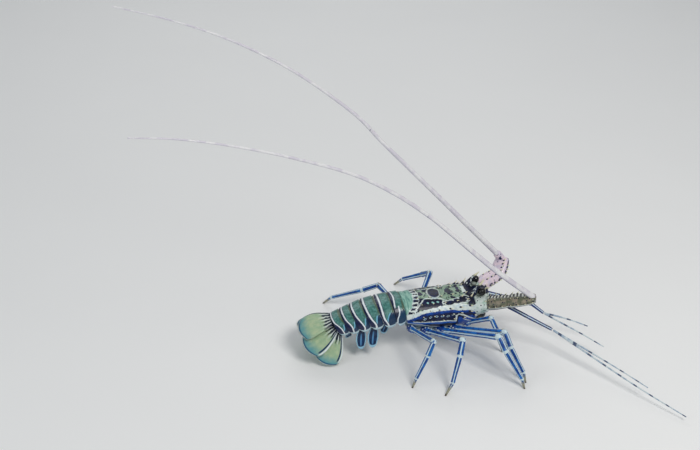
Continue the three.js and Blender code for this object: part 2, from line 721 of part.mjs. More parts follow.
function blade(kind, side) {
  const b = BLADES[kind];
  const root = rolled(of3(b.root, side));
  const tip = rolled(of3(b.tip, side));
  const axis = tip.clone().sub(root);
  const length = axis.length();
  axis.normalize();
  const outward = root.clone().lerp(tip, 0.6).sub(rolled(FAN_HUB));
  outward.addScaledVector(axis, -outward.dot(axis)).normalize();
  const across = axis.clone().cross(outward).normalize();
  const middle = (u, v) => {
    const swell = mix(b.near, b.wide, Math.sin(Math.min(u / FAN_SHOULDER, 1) * Math.PI / 2));
    const beyond = Math.max(0, (u - FAN_SHOULDER) / (1 - FAN_SHOULDER));
    const half = swell * (1 - 0.12 * beyond ** 2);
    const reach = length * (u - 0.14 * v * v * u * u * u);
    const arch = 0.05 * length * Math.sin(Math.PI * u);
    const bend = arch - 2 * v * v * u - FAN_STEP * b.level * Math.min(1, 3 * u);
    const p = root.clone().addScaledVector(axis, reach).addScaledVector(across, half * v);
    return p.addScaledVector(outward, bend);
  };
  const thick = (u, v) => {
    const fade = Math.min(1, (1 - Math.abs(v)) * 5) * Math.min(1, 4 * u) * (1 - 0.5 * u);
    const rib = 0.4 * Math.cos((FAN_RIBS * Math.PI * v) / 2) ** 2 * fade;
    return mix(FAN_THICKNESS * 1.4, FAN_THICKNESS * 0.7, u) + rib;
  };
  return leaf(middle, 8, 10, thick);
}

// Swimmerets: small leaves hung in pairs under the second to the fifth somite
const SWIMMERETS = {
  2: { root: [-23, 13.5, 38.2], tip: [-28, 17, 29], half: 5 },
  3: { root: [-37.5, 14.5, 36.2], tip: [-41, 22.5, 14.5], half: 6.6 },
  4: { root: [-52, 13.5, 34], tip: [-54.5, 21.5, 13.5], half: 6.2 },
  5: { root: [-64.5, 12.5, 30.4], tip: [-71, 12.5, 27], half: 3.6 },
};

function swimmeret(index, side) {
  const s = SWIMMERETS[index];
  const root = of3(s.root, side);
  const tip = of3(s.tip, side);
  const axis = tip.clone().sub(root);
  const length = axis.length();
  axis.normalize();
  const back = V(-1, 0.1 * side, 0);
  const across = back.clone().addScaledVector(axis, -back.dot(axis)).normalize();
  const outward = across.clone().cross(axis).normalize();
  return leaf((u, v) => {
    const half = s.half * (0.35 + 0.65 * Math.sin(Math.PI * Math.min(0.12 + u * 0.8, 1)) ** 0.8);
    const bulge = side * (1.2 * Math.sin(Math.PI * u) - 0.8 * v * v);
    const p = root.clone().addScaledVector(axis, length * (u - 0.1 * v * v * u));
    return p.addScaledVector(across, half * v).addScaledVector(outward, bulge);
  }, 6, 4, (u, v) => mix(1.6, 0.9, u) * (1 - 0.3 * v * v));
}

// One of the two mouth limbs, curled up in front of the mouth: [x, y, z, radius]
const JAW_ROWS = [
  [74, 6.5, 29, 3.4], [82, 7.5, 27, 3.6], [91, 8, 26.5, 3.2], [97, 7.6, 29.5, 2.8], [98.5, 7, 34, 2.3],
  [96.5, 6.4, 37.5, 1.6],
];
const jaw = (side) => rod(JAW_ROWS.map(([x, y, z, r]) => [V(x, y * side, z), r]), 8);

// Assembly, from the shell outwards. A piece is cut by copies of its neighbours that
// are grown by the gap, so the two meet without touching.
const shellGrown = carapaceCore(GAP);
const sternumGrown = sternumPlate(GAP);
const eyesGrown = Object.values(SIDES).map((side) => eyeSolid(side, GAP));

add("carapace", cut(join(carapaceCore(0), carapaceSpines()), eyesGrown), BLACK_BLUE);
add("sternum", cut(sternumPlate(), shellGrown), DEEP_BLUE);
for (const [name, side] of Object.entries(SIDES)) add(`eye_${name}`, eyeSolid(side), EYE_BLACK, 0.15);

for (const [name, antenna] of Object.entries(ANTENNAE)) {
  const lower = join(stalk(antenna, 0), stalkSpines(antenna, 0));
  const upper = join(stalk(antenna, 1), stalkSpines(antenna, 1), swivel(antenna));
  const whipGrown = whip(antenna, 0, antenna.split, 10, GAP);
  add(`antenna_${name}_stalk_1`, cut(lower, shellGrown, stalk(antenna, 1, 0.05)), antenna.color);
  add(`antenna_${name}_stalk_2`, cut(upper, stalk(antenna, 0, GAP), whipGrown), antenna.color);
  add(`antenna_${name}_whip_1`, whip(antenna, 0, antenna.split, 10), PALE);
  add(`antenna_${name}_whip_2`, whip(antenna, antenna.split + 0.0008, 1, 14), PALE);
}

for (const [name, a] of Object.entries(ANTENNULES)) {
  const stemGrown = antennuleStalk(a, GAP);
  add(`antennule_${name}_stalk`, cut(antennuleStalk(a), shellGrown), DEEP_BLUE);
  add(`antennule_${name}_outer`, cut(lash(a, "outer"), stemGrown), PALE);
  add(`antennule_${name}_inner`, cut(lash(a, "inner"), stemGrown, lash(a, "outer", GAP)), PALE);
}

for (const [name, leg] of Object.entries(LEGS)) {
  add(`leg_${name}_upper`, cut(legUpper(leg), shellGrown, sternumGrown), DEEP_BLUE);
  add(`leg_${name}_lower`, cut(legLower(leg), legUpper(leg, GAP)), DEEP_BLUE);
}

for (const [name, side] of Object.entries(SIDES)) {
  const firstLeg = legUpper(LEGS[`${name}_1`], GAP);
  add(`maxilliped_${name}`, cut(jaw(side), shellGrown, sternumGrown, firstLeg), TEAL);
}

const lastHips = [legUpper(LEGS.right_5, GAP), legUpper(LEGS.left_5, GAP)];
add("abdomen_1", cut(somite(1), shell(GAP, 24), sternumGrown, lastHips), TEAL);
for (let i = 2; i <= 6; i += 1) add(`abdomen_${i}`, somite(i), TEAL);

const rings = [1, 2, 3, 4, 5, 6].map((i) => somite(i, GAP));
const lastRings = rings.slice(4);
add("telson", cut(blade("telson", 1), lastRings[1]), FAN_GREEN);
for (const [name, side] of Object.entries(SIDES)) {
  add(`uropod_${name}_inner`, cut(blade("inner", side), lastRings), FAN_GREEN);
  add(`uropod_${name}_outer`, cut(blade("outer", side), lastRings), FAN_GREEN);
  for (let i = 2; i <= 5; i += 1) {
    add(`pleopod_${name}_${i}`, cut(swimmeret(i, side), rings.slice(i - 2, i + 1)), DEEP_BLUE);
  }
}

// The origin goes to the middle of the footprint, on the floor
const box = new THREE.Box3().setFromObject(placed);
placed.position.set(-(box.min.x + box.max.x) / 2, -(box.min.y + box.max.y) / 2, 0);

export default lobster;
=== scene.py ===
import math

import bpy
import numpy as np
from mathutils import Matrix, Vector


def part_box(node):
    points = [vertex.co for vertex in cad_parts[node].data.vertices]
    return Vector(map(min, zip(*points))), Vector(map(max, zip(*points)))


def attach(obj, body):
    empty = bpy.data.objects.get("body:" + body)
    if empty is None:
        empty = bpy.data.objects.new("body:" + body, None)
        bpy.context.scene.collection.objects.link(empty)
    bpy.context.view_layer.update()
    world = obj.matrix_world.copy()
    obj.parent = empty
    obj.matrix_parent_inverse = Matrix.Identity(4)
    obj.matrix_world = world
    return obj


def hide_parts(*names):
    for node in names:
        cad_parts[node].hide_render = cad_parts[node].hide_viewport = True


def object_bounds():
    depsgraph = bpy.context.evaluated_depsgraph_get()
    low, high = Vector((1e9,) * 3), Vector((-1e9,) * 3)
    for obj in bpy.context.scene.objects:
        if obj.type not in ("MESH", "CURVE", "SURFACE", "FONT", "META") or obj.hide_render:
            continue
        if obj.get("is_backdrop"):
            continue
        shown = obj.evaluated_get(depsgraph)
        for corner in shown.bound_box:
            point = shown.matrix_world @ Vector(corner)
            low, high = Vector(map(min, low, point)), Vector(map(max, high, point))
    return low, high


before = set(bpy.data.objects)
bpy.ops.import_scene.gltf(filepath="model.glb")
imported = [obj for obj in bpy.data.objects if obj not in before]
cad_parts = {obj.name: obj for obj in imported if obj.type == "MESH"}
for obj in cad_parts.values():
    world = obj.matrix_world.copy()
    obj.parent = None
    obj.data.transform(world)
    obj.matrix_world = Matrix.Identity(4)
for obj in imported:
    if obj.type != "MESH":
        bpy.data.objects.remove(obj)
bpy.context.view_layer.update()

# The carapace is the hard shell over head and chest, one piece with the sockets of the
# two antennae and the curved horns over the eyes. Sizes are in millimetres from the
# shell's rear edge, the body's middle line and the floor.
MM = 0.001
BREAST_START = 2
breast_low, breast_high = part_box("sternum")
ORIGIN = np.array([breast_low.x - BREAST_START * MM, (breast_low.y + breast_high.y) / 2, 0.0])
AXIS_Z = 46.5
HALF_WIDTH = 27.5
RISE = 19.6
DROP = 23.5
ROUNDNESS = 0.94
SHELL_LENGTH = 88
SHELL_WIDTH = [[0, 0.86], [6, 0.9], [20, 0.97], [40, 1], [58, 0.99], [72, 0.95], [82, 0.86], [88, 0.7]]
SHELL_RISE = [[0, 1.02], [8, 1.03], [25, 1.01], [45, 1], [70, 1.02], [80, 0.96], [85, 0.84], [88, 0.7]]
SHELL_DROP = [[0, 0.5], [8, 0.68], [20, 0.84], [35, 0.96], [55, 1], [78, 1.02], [88, 0.78]]
SHELL_LEAN = [[0, 8], [20, 4], [45, 0], [88, 0]]
SHELL_AROUND = 150
GROOVE_START = 46
GROOVE_SWEEP = 16
GROOVE_DEPTH = 1.5
HEAD_ROWS = np.array([[70, 12, 56, 27], [74, 15, 58, 25], [85, 16, 63, 27], [93, 13.5, 64.5, 34],
                      [100, 12, 64.5, 41], [104, 9.5, 61, 46]], float)
HEAD_RINGS = 28
HEAD_AROUND = 40
HEAD_ROUNDNESS = 0.8
SOCKET_BASE = np.array([80, 13, 48.5])
SOCKET_END = np.array([98, 18.6, 54])
SOCKET_RADIUS = 10.6
SOCKET_PLACES = (0, 0.3, 0.6, 0.82, 0.9, 0.96, 1)
SOCKET_WIDE = SOCKET_RADIUS + np.array([0, 0.3, 0.5, 0.3, 0.3, 0, -0.7])
SOCKET_TALL = SOCKET_RADIUS + np.array([0, 0, 0, -0.6, -0.8, -1.2, -2])
HORN_BASE = np.array([79, 10.5, 60])
HORN_TIP = np.array([95.5, 9.3, 81])
HORN_PLACES = [0, 0.2, 0.45, 0.75, 1]
HORN_RADII = [4.8, 4.3, 3.2, 1.8, 0.6]
HORN_BEND = (-0.6, 0.5, 0.9)
HORN_FLATNESS = 0.88
VOXEL = 0.7 * MM


def along(table, s):
    """Smooth value at s of a table of [place, value] rows."""
    x, y = np.array(table, float).T
    slope = np.gradient(y, x)
    slope[1:-1] = (y[2:] - y[:-2]) / (x[2:] - x[:-2])
    s = np.clip(np.asarray(s, float), x[0], x[-1])
    i = np.clip(np.searchsorted(x, s, side="right") - 1, 0, len(x) - 2)
    h = x[i + 1] - x[i]
    t = (s - x[i]) / h
    rise = (2 * t**3 - 3 * t**2 + 1) * y[i] + (t**3 - 2 * t**2 + t) * h * slope[i]
    return rise + (3 * t**2 - 2 * t**3) * y[i + 1] + (t**3 - t**2) * h * slope[i + 1]


def along_rows(places, rows, s):
    """Smooth rows at s, where each given row stands at its place."""
    columns = np.array(rows, float).T
    return np.stack([along(np.stack([places, column], -1), s) for column in columns], -1)


def power(v, p):
    return np.sign(v) * np.abs(v) ** p


def ease(low, high, v):
    t = np.clip((v - low) / (high - low), 0, 1)
    return t * t * (3 - 2 * t)


def hump(v, place, width):
    return np.exp(-(((v - place) / width) ** 2))


def unit(v):
    return v / np.linalg.norm(v, axis=-1, keepdims=True)


def lerp(a, b, t):
    return np.asarray(a, float) * (1 - t) + np.asarray(b, float) * t


def mirrored(p, side):
    return np.asarray(p, float) * [1, side, 1]


def shell_point(x, turn):
    """Shell surface at x along the body and turn round it: 0 the ridge, +-1 the belly."""
    x, turn = np.broadcast_arrays(np.asarray(x, float), np.asarray(turn, float))
    a = turn * math.pi
    side = np.abs(turn)
    y = HALF_WIDTH * along(SHELL_WIDTH, x) * power(np.sin(a), ROUNDNESS)
    tall = np.where(np.cos(a) > 0, RISE * along(SHELL_RISE, x), DROP * along(SHELL_DROP, x))
    z = tall * power(np.cos(a), ROUNDNESS)
    groove = GROOVE_START + GROOVE_SWEEP * np.minimum(side / 0.5, 1) ** 1.4
    dip = (1 - ease(0.44, 0.62, side)) * (GROOVE_DEPTH * hump(x, groove, 2.3) + 0.9 * hump(x, 6, 1.5))
    r = np.hypot(y, z)
    k = (r - dip + 0.35 * hump(x, 1.2, 1.2)) / r
    lean = np.radians(along(SHELL_LEAN, x))
    return np.stack([x - np.sin(lean) * z * k, y * k, AXIS_Z + np.cos(lean) * z * k], -1)


def tube(rings, run, turn=None):
    """Rings of points as one closed skin. Its lay is the run along it, for each ring or
    each point, and the turn round it, which starts and ends where the rings do."""
    rings = np.asarray(rings, float)
    rows, cols = rings.shape[:2]
    turn = np.arange(cols + 1) / cols if turn is None else np.asarray(turn, float)
    run = np.asarray(run, float)
    run = np.broadcast_to(run[:, None] if run.ndim == 1 else run, (rows, cols + 1))
    i, j = np.meshgrid(np.arange(rows - 1), np.arange(cols), indexing="ij")
    k = (j + 1) % cols
    quads = np.stack([i * cols + j, i * cols + k, (i + 1) * cols + k, (i + 1) * cols + j], -1)
    quads = quads.reshape(-1, 4)
    u = np.stack([run[i, j], run[i, j + 1], run[i + 1, j + 1], run[i + 1, j]], -1)
    v = np.stack([turn[j], turn[j + 1], turn[j + 1], turn[j]], -1)
    lay = np.stack([u, v], -1).reshape(-1, 4, 2)
    points = rings.reshape(-1, 3)
    corners = points[quads]
    normal = np.cross(corners[:, 1] - corners[:, 0], corners[:, 2] - corners[:, 0])
    outward = corners.mean(1) - rings.mean(1)[i].reshape(-1, 3)
    if (normal * outward).sum() < 0:
        quads, lay = quads[:, ::-1], lay[:, ::-1]
    faces, lays = quads.tolist(), lay.tolist()
    first, last = rings[0].mean(0), rings[-1].mean(0)
    points = np.concatenate([points, [first, last]])
    flip = np.cross(rings[0][1] - rings[0][0], first - rings[0][0]) @ (first - rings[1].mean(0)) < 0
    for row, centre, turned in ((0, rows * cols, flip), (rows - 1, rows * cols + 1, not flip)):
        for c in range(cols):
            face = [row * cols + c, row * cols + (c + 1) % cols, centre]
            middle = (turn[c] + turn[c + 1]) / 2
            spots = [[run[row, c], turn[c]], [run[row, c + 1], turn[c + 1]], [run[row, c], middle]]
            faces.append(face[::-1] if turned else face)
            lays.append(spots[::-1] if turned else spots)
    return points, faces, lays


def placed(name, data):
    """A new object in the scene."""
    thing = bpy.data.objects.new(name, data)
    bpy.context.scene.collection.objects.link(thing)
    return thing


def mesh_of(name, skins):
    """One mesh from several skins, set in its place in metres."""
    points, faces, lays = [], [], []
    for skin_points, skin_faces, skin_lays in skins:
        start = sum(len(p) for p in points)
        points.append(skin_points)
        faces += [[start + k for k in f] for f in skin_faces]
        lays += [spot for face in skin_lays for spot in face]
    mesh = bpy.data.meshes.new(name)
    mesh.from_pydata((np.concatenate(points) * MM + ORIGIN).tolist(), [], faces)
    layer = mesh.uv_layers.new(name="lay")
    layer.data.foreach_set("uv", np.array(lays, np.float32).ravel())
    mesh.shade_smooth()
    return placed(name, mesh)


def hoops(places, half, middle, tall, around, roundness):
    """Squarish rings across the body at places along it."""
    w = 2 * np.pi * np.arange(around) / around
    x = np.broadcast_to(places[:, None], (len(places), around))
    y = half[:, None] * power(np.sin(w), roundness)
    return np.stack([x, y, middle[:, None] + tall[:, None] * power(np.cos(w), roundness)], -1)


def frames(points):
    """Direction, side and up at each point of a line, carried along without twist."""
    heading = unit(np.gradient(np.asarray(points, float), axis=0))
    sides = []
    side = np.cross([0, 0, 1], heading[0])
    for t in heading:
        side = unit(side - (side @ t) * t)
        sides.append(side)
    sides = np.array(sides)
    return heading, sides, np.cross(heading, sides)


def reach(points):
    """Length along a line up to each of its points."""
    return np.concatenate([[0], np.cumsum(np.linalg.norm(np.diff(points, axis=0), axis=1))])


def rod(points, wide, tall, around=24, run=None):
    """A rod of elliptic section round a line of points."""
    points = np.asarray(points, float)
    heading, side, up = frames(points)
    w = 2 * np.pi * np.arange(around) / around
    wide = np.broadcast_to(wide, len(points))[:, None, None]
    tall = np.broadcast_to(tall, len(points))[:, None, None]
    rings = points[:, None] + side[:, None] * np.cos(w)[None, :, None] * wide
    rings = rings + up[:, None] * np.sin(w)[None, :, None] * tall
    return tube(rings, reach(points) if run is None else run)


def finished(thing):
    """The thing with its modifiers turned into plain mesh."""
    graph = bpy.context.evaluated_depsgraph_get()
    mesh = bpy.data.meshes.new_from_object(thing.evaluated_get(graph))
    thing.modifiers.clear()
    thing.data = mesh
    mesh.shade_smooth()
    return thing


class Wire:
    """A socket of a node tree that sums, products and comparisons can be made from."""

    def __init__(self, tree, socket):
        self.tree = tree
        self.socket = socket

    def node(self, kind, settings=None, sockets=None, out=0):
        made = self.tree.nodes.new(kind)
        for key, value in (settings or {}).items():
            if key == "bends":
                curve = made.mapping.curves[0]
                for spot in value[1:-1]:
                    curve.points.new(*spot)
                curve.points[0].location = value[0]
                curve.points[-1].location = value[-1]
                made.mapping.update()
            else:
                setattr(made, key, value)
        for key, value in (sockets or {}).items():
            if isinstance(value, Wire):
                self.tree.links.new(value.socket, made.inputs[key])
            else:
                made.inputs[key].default_value = value
        return Wire(self.tree, made.outputs[out])

    def math(self, operation, *others):
        return self.node("ShaderNodeMath", {"operation": operation}, dict(enumerate((self, *others))))

    def __add__(self, other):
        return self.math("ADD", other)

    def __sub__(self, other):
        return self.math("SUBTRACT", other)

    def __mul__(self, other):
        return self.math("MULTIPLY", other)

    def __truediv__(self, other):
        return self.math("DIVIDE", other)

    __radd__ = __add__
    __rmul__ = __mul__

    def __rsub__(self, other):
        return self.math("MULTIPLY_ADD", -1, other)

    def size(self):
        return self.math("ABSOLUTE")

    def rise(self, low, high):
        """0 below low and 1 above high, with a soft step between."""
        spots = {"Value": self, "From Min": low, "From Max": high}
        return self.node("ShaderNodeMapRange", {"interpolation_type": "SMOOTHSTEP"}, spots)

    def fall(self, low, high):
        """1 below low and 0 above high, with a soft step between."""
        return self.rise(high, low)

    def within(self, low, inside, beyond, high):
        """1 between inside and beyond, with soft steps down to low and high."""
        return self.rise(low, inside) * self.fall(beyond, high)

    def band(self, middle, half, soft):
        """1 where this is within half of the middle, and 0 elsewhere."""
        return (self - middle).size().fall(half - soft, half + soft)

    def path(self, spots, length=1):
        """The height of a smooth line through [place, height] spots, up to a length."""
        spots = [(place / length, high) for place, high in spots]
        before = [(0, spots[0][1])] * (spots[0][0] > 0)
        after = [(1, spots[-1][1])] * (spots[-1][0] < 1)
        bends = {"bends": before + spots + after}
        return self.node("ShaderNodeFloatCurve", bends, {"Value": self / length})

    def wave(self, first, period):
        """A wave from -1 to 1 with a crest at first and at each period after it."""
        return ((self - first) * (2 * math.pi / period)).math("COSINE")


def mixed(mask, low, high):
    """Low where the mask is 0 and high where it is 1, both wires or screen colours."""
    spots = {0: mask}
    for key, value in ((6, low), (7, high)):
        if not isinstance(value, Wire):
            value = [((c / 255 + 0.055) / 1.055) ** 2.4 if c > 10 else c / 255 / 12.92 for c in value]
            value = (*value, 1)
        spots[key] = value
    return mask.node("ShaderNodeMix", {"data_type": "RGBA"}, spots, out=2)


class Finish:
    """A material under way: its place and lay wires, its colour so far and its shader.
    A spine holds its height in tip, just above 0 at its root, and the skin holds 0."""

    def __init__(self, name):
        self.material = bpy.data.materials.new(name)
        self.material.use_nodes = True
        tree = self.material.node_tree
        self.shader = tree.nodes["Principled BSDF"]
        self.root = root = Wire(tree, None)
        self.colour = None
        metres = root.node("ShaderNodeTexCoord", out=3)
        spots = {0: metres, 1: (1 / MM,) * 3, 2: tuple(-ORIGIN / MM)}
        self.place = root.node("ShaderNodeVectorMath", {"operation": "MULTIPLY_ADD"}, spots)
        chart = root.node("ShaderNodeUVMap", {"uv_map": "lay"})
        split = "ShaderNodeSeparateXYZ"
        self.x, self.y, self.z = (root.node(split, None, {0: self.place}, i) for i in range(3))
        self.u, self.v = (root.node(split, None, {0: chart}, i) for i in range(2))
        self.across, self.down = self.u, self.v
        self.tip = root.node("ShaderNodeAttribute", {"attribute_name": "tip"}, out=2)

    def noise(self, size, detail=2.0, rough=0.5, stretch=(1, 1, 1)):
        spots = {0: self.place, 1: stretch}
        place = self.root.node("ShaderNodeVectorMath", {"operation": "MULTIPLY"}, spots)
        spots = {"Vector": place, "Scale": 1 / size, "Detail": detail, "Roughness": rough}
        return self.root.node("ShaderNodeTexNoise", None, spots)

    def cells(self, size, jitter=1.0):
        spots = {"Vector": self.place, "Scale": 1 / size, "Randomness": jitter}
        return self.root.node("ShaderNodeTexVoronoi", None, spots)

    def drift(self, amount, size, detail=2.0):
        """A soft shift to and fro, for edges that wander."""
        return (self.noise(size, detail) - 0.5) * amount

    def clouds(self, first, second, size, detail=2.0, low=0.4, high=0.65):
        """Two colours in soft clouds of a size."""
        return mixed(self.noise(size, detail).rise(low, high), first, second)

    def grit(self):
        """Fine pits over low swells, as on the shell of the limbs."""
        return self.noise(0.6, 3) + self.noise(3, 2)

    def spot(self, across, down, wide, tall, soft=0.12):
        """1 inside an oval about a place of the lay."""
        a, b = (self.across - across) / wide, (self.down - down) / tall
        return (a * a + b * b).math("SQRT").fall(1 - soft, 1 + soft)

    def spots(self, ovals):
        return sum(self.spot(*oval) for oval in ovals)

    def paint(self, mask, colour):
        """Lays a colour over the colour so far where the mask is 1."""
        self.colour = mixed(mask, self.colour, colour)

    def spiny(self, colour, ends=None, start=0.35, stop=0.55):
        """Colours the spines, and their ends where they have another colour."""
        self.paint(self.tip.rise(0.0004, 0.0006), colour)
        if ends:
            self.paint(self.tip.rise(start, stop), ends)

    def close(self, roughness, relief, depth, coat=0.3):
        """Joins the colour, the roughness and the relief in millimetres to the shader."""
        relief = self.root.node("ShaderNodeBump", None, {"Height": relief, "Distance": depth * MM})
        for name, wire in (("Base Color", self.colour), ("Roughness", roughness), ("Normal", relief)):
            self.root.tree.links.new(wire.socket, self.shader.inputs[name])
        self.shader.inputs["Coat Weight"].default_value = coat
        self.shader.inputs["Coat Roughness"].default_value = 0.12
        self.shader.inputs["Specular IOR Level"].default_value = 0.3
        return self.material


def joined(first, *others):
    """Several finished pieces as one, with the name of the first."""
    with bpy.context.temp_override(active_object=first, selected_editable_objects=[first, *others]):
        bpy.ops.object.join()
    return first


def handed_over(thing, node):
    """The piece in its place on the model, standing for its node."""
    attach(thing, "root")
    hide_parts(node)


THORNS = bpy.data.node_groups.new("thorns", "GeometryNodeTree")
THORN_INPUTS = {}
for label, kind in (("Geometry", "Geometry"), ("Sides", "Int"), ("Steps", "Int"), ("Finish", "Material")):
    THORN_INPUTS[label] = THORNS.interface.new_socket(
        label, in_out="INPUT", socket_type=f"NodeSocket{kind}")
THORNS.interface.new_socket("Geometry", in_out="OUTPUT", socket_type="NodeSocketGeometry")
thorn = Wire(THORNS, None)
given = THORNS.nodes.new("NodeGroupInput")
points_in, sides_in, steps_in, finish_in = (Wire(THORNS, given.outputs[i]) for i in range(4))
cone = thorn.node("GeometryNodeMeshCone", {"fill_type": "NGON"}, {
    "Vertices": sides_in, "Side Segments": steps_in, "Radius Top": 0.04, "Radius Bottom": 1.0, "Depth": 1.0})
height = thorn.node("ShaderNodeSeparateXYZ", None, {0: thorn.node("GeometryNodeInputPosition")}, 2)
tipped = thorn.node("GeometryNodeStoreNamedAttribute", {"data_type": "FLOAT", "domain": "POINT"},
                    {"Geometry": cone, "Name": "tip", "Value": height + 0.001})
lean, stout = (thorn.node("GeometryNodeInputNamedAttribute", {"data_type": "FLOAT_VECTOR"}, {"Name": name})
               for name in ("lean", "stout"))
turned = thorn.node("FunctionNodeAlignRotationToVector", {"axis": "Z"}, {"Vector": lean})
set_out = thorn.node("GeometryNodeInstanceOnPoints", None,
                     {"Points": points_in, "Instance": tipped, "Rotation": turned, "Scale": stout})
real = thorn.node("GeometryNodeRealizeInstances", None, {"Geometry": set_out})
last = thorn.node("GeometryNodeSetMaterial", None, {"Geometry": real, "Material": finish_in})
THORNS.links.new(last.socket, THORNS.nodes.new("NodeGroupOutput").inputs[0])


def thorns(roots, leans, radii, lengths, finish, sides=8, steps=4):
    """Sharp spines on points, each with its own direction, radius and length."""
    roots = np.asarray(roots, float)
    radii = np.broadcast_to(radii, len(roots))
    mesh = bpy.data.meshes.new("thorns")
    mesh.from_pydata((roots * MM + ORIGIN).tolist(), [], [])
    for key, values in (("lean", leans), ("stout", np.stack([radii, radii, lengths], -1) * MM)):
        layer = mesh.attributes.new(key, "FLOAT_VECTOR", "POINT")
        layer.data.foreach_set("vector", np.asarray(values, np.float32).ravel())
    thing = placed("thorns", mesh)
    made = thing.modifiers.new("thorns", "NODES")
    made.node_group = THORNS
    for label, value in (("Sides", sides), ("Steps", steps), ("Finish", finish)):
        made[THORN_INPUTS[label].identifier] = value
    return finished(thing)


stations = np.arange(0, SHELL_LENGTH + 0.01, 1.0)
turns = 2 * (np.arange(SHELL_AROUND) + 0.5) / SHELL_AROUND - 1
skins = [tube(shell_point(stations[:, None], turns[None]), stations)]
places = np.linspace(HEAD_ROWS[0, 0], HEAD_ROWS[-1, 0], HEAD_RINGS)
half, top, bottom = (np.interp(places, HEAD_ROWS[:, 0], HEAD_ROWS[:, k]) for k in (1, 2, 3))
block = hoops(places, half, (top + bottom) / 2, (top - bottom) / 2, HEAD_AROUND, HEAD_ROUNDNESS)
skins.append(tube(block, places))
for side in (-1, 1):
    a, b = mirrored(SOCKET_BASE, side), mirrored(SOCKET_END, side)
    skins.append(rod([lerp(a, b, t) for t in SOCKET_PLACES], SOCKET_WIDE, SOCKET_TALL, 32))
    a, b = mirrored(HORN_BASE, side), mirrored(HORN_TIP, side)
    bend = mirrored(HORN_BEND, side)
    line = [lerp(a, b, -0.1), lerp(a, b, 0.1), lerp(a, b, 0.35) + bend, lerp(a, b, 0.7) + bend, b]
    t = np.linspace(0, 1, 16)
    girth = along(np.stack([HORN_PLACES, HORN_RADII], -1), t)
    skins.append(rod(along_rows(HORN_PLACES, line, t), girth, girth * HORN_FLATNESS, 18))
shell = mesh_of("carapace", skins)
remesh = shell.modifiers.new("weld", "REMESH")
remesh.mode = "VOXEL"
remesh.voxel_size = VOXEL
soften = shell.modifiers.new("soften", "SMOOTH")
soften.factor = 0.5
soften.iterations = 5
finished(shell)

# The welded skin gets its lay back from each point's place
spots = np.empty(len(shell.data.vertices) * 3)
shell.data.vertices.foreach_get("co", spots)
spots = (spots.reshape(-1, 3) - ORIGIN) / MM
x = spots[:, 0].copy()
for _ in range(3):
    lean_here = np.radians(along(SHELL_LEAN, x))
    x = spots[:, 0] + np.sin(lean_here) * (spots[:, 2] - AXIS_Z) / np.cos(lean_here)
high = (spots[:, 2] - AXIS_Z) / np.cos(lean_here)
tall = np.where(high > 0, RISE * along(SHELL_RISE, x), DROP * along(SHELL_DROP, x))
turn = np.arctan2(power(spots[:, 1] / HALF_WIDTH / along(SHELL_WIDTH, x), 1 / ROUNDNESS),
                  power(high / tall, 1 / ROUNDNESS)) / math.pi
corner = np.empty(len(shell.data.loops), np.int32)
shell.data.loops.foreach_get("vertex_index", corner)
layer = shell.data.uv_layers.new(name="lay")
layer.data.foreach_set("uv", np.stack([x[corner], np.abs(turn[corner])], -1).astype(np.float32).ravel())

# Colours are as they look on a screen, 0 to 255. Spots are ovals of the lay: place along
# the shell in millimetres, turn from the ridge, and the half sizes of both.
NIGHT = (7, 14, 42)
CREAM = (224, 234, 228)
SAGE = (138, 166, 146)
MINT = (146, 192, 176)
BACK_SPOTS = ((37, 0.02, 6.5, 0.075), (22, 0.015, 2.5, 0.03), (54, 0.01, 3.5, 0.04), (66, 0.03, 2.2, 0.035))
FLANK_SPOTS = ((52, 0.225, 5.2, 0.042), (62.5, 0.213, 6.8, 0.043), (70.5, 0.2, 6, 0.055))
SPOT_RIM = (0, 0, 1, 0.013)
PALE_FLECKS = ((64.5, 0.172, 2.6, 0.012), (73, 0.215, 1.6, 0.03))
STRIPE_FLECKS = ((66, 0.4, 1.2, 0.016), (76.5, 0.47, 1.2, 0.016))
ROOF = [[16, 0.1], [22, 0.12], [27, 0.112], [31, 0.122], [38, 0.132], [44, 0.152], [50, 0.19]]
RUNGS = [[0, 0.16], [0.07, 0.155], [0.135, 0.145], [0.205, 0.125], [0.275, 0.095], [0.35, 0.055],
         [0.42, 0.01]]
SLANT = [[0.08, 0.26], [0.11, 0.243], [0.16, 0.205], [0.22, 0.168], [0.28, 0.135], [0.34, 0.105]]
EAVES = [[0, 0.4], [5, 0.375], [10, 0.355], [15, 0.328], [20, 0.308], [30, 0.29], [38, 0.272], [45, 0.256],
         [51, 0.27], [57, 0.25], [62, 0.262], [68, 0.275], [75, 0.315], [80, 0.335], [84, 0.28], [88, 0.2]]
SILL = [[0, 0.475], [5, 0.46], [10, 0.43], [15, 0.4], [20, 0.372], [25, 0.356], [32, 0.35], [50, 0.35],
        [55, 0.36], [60, 0.378], [66, 0.392], [72, 0.4], [78, 0.43], [82, 0.48], [86, 0.56]]
SCALLOPS = [[18, 0.475], [27, 0.448], [35, 0.437], [41, 0.448], [48, 0.458], [55, 0.445]]
LOW_LINE = [[6, 0.525], [15, 0.53], [25, 0.532], [40, 0.545], [50, 0.55], [58, 0.575]]
HOOK = [[58, 0.5], [61, 0.462], [66, 0.476], [70, 0.505], [75, 0.55], [80, 0.6], [84, 0.68]]
MARGIN = [[3, 0.585], [15, 0.6], [25, 0.65], [35, 0.7], [60, 0.74], [75, 0.76]]
EDGE = (-0.004, 0.004)
skin = Finish("carapace_shell")
wander = skin.drift(1, 3.2, 3)
skin.across = x = skin.u + wander * 4
skin.down = s = skin.v + wander * 0.036
night = skin.clouds(NIGHT, (4, 28, 78), 5, 3, 0.45, 0.7)
ink = skin.clouds((2, 40, 116), (6, 76, 168), 6)
cream = skin.clouds(CREAM, (190, 208, 216), 4, 3, 0.45, 0.7)

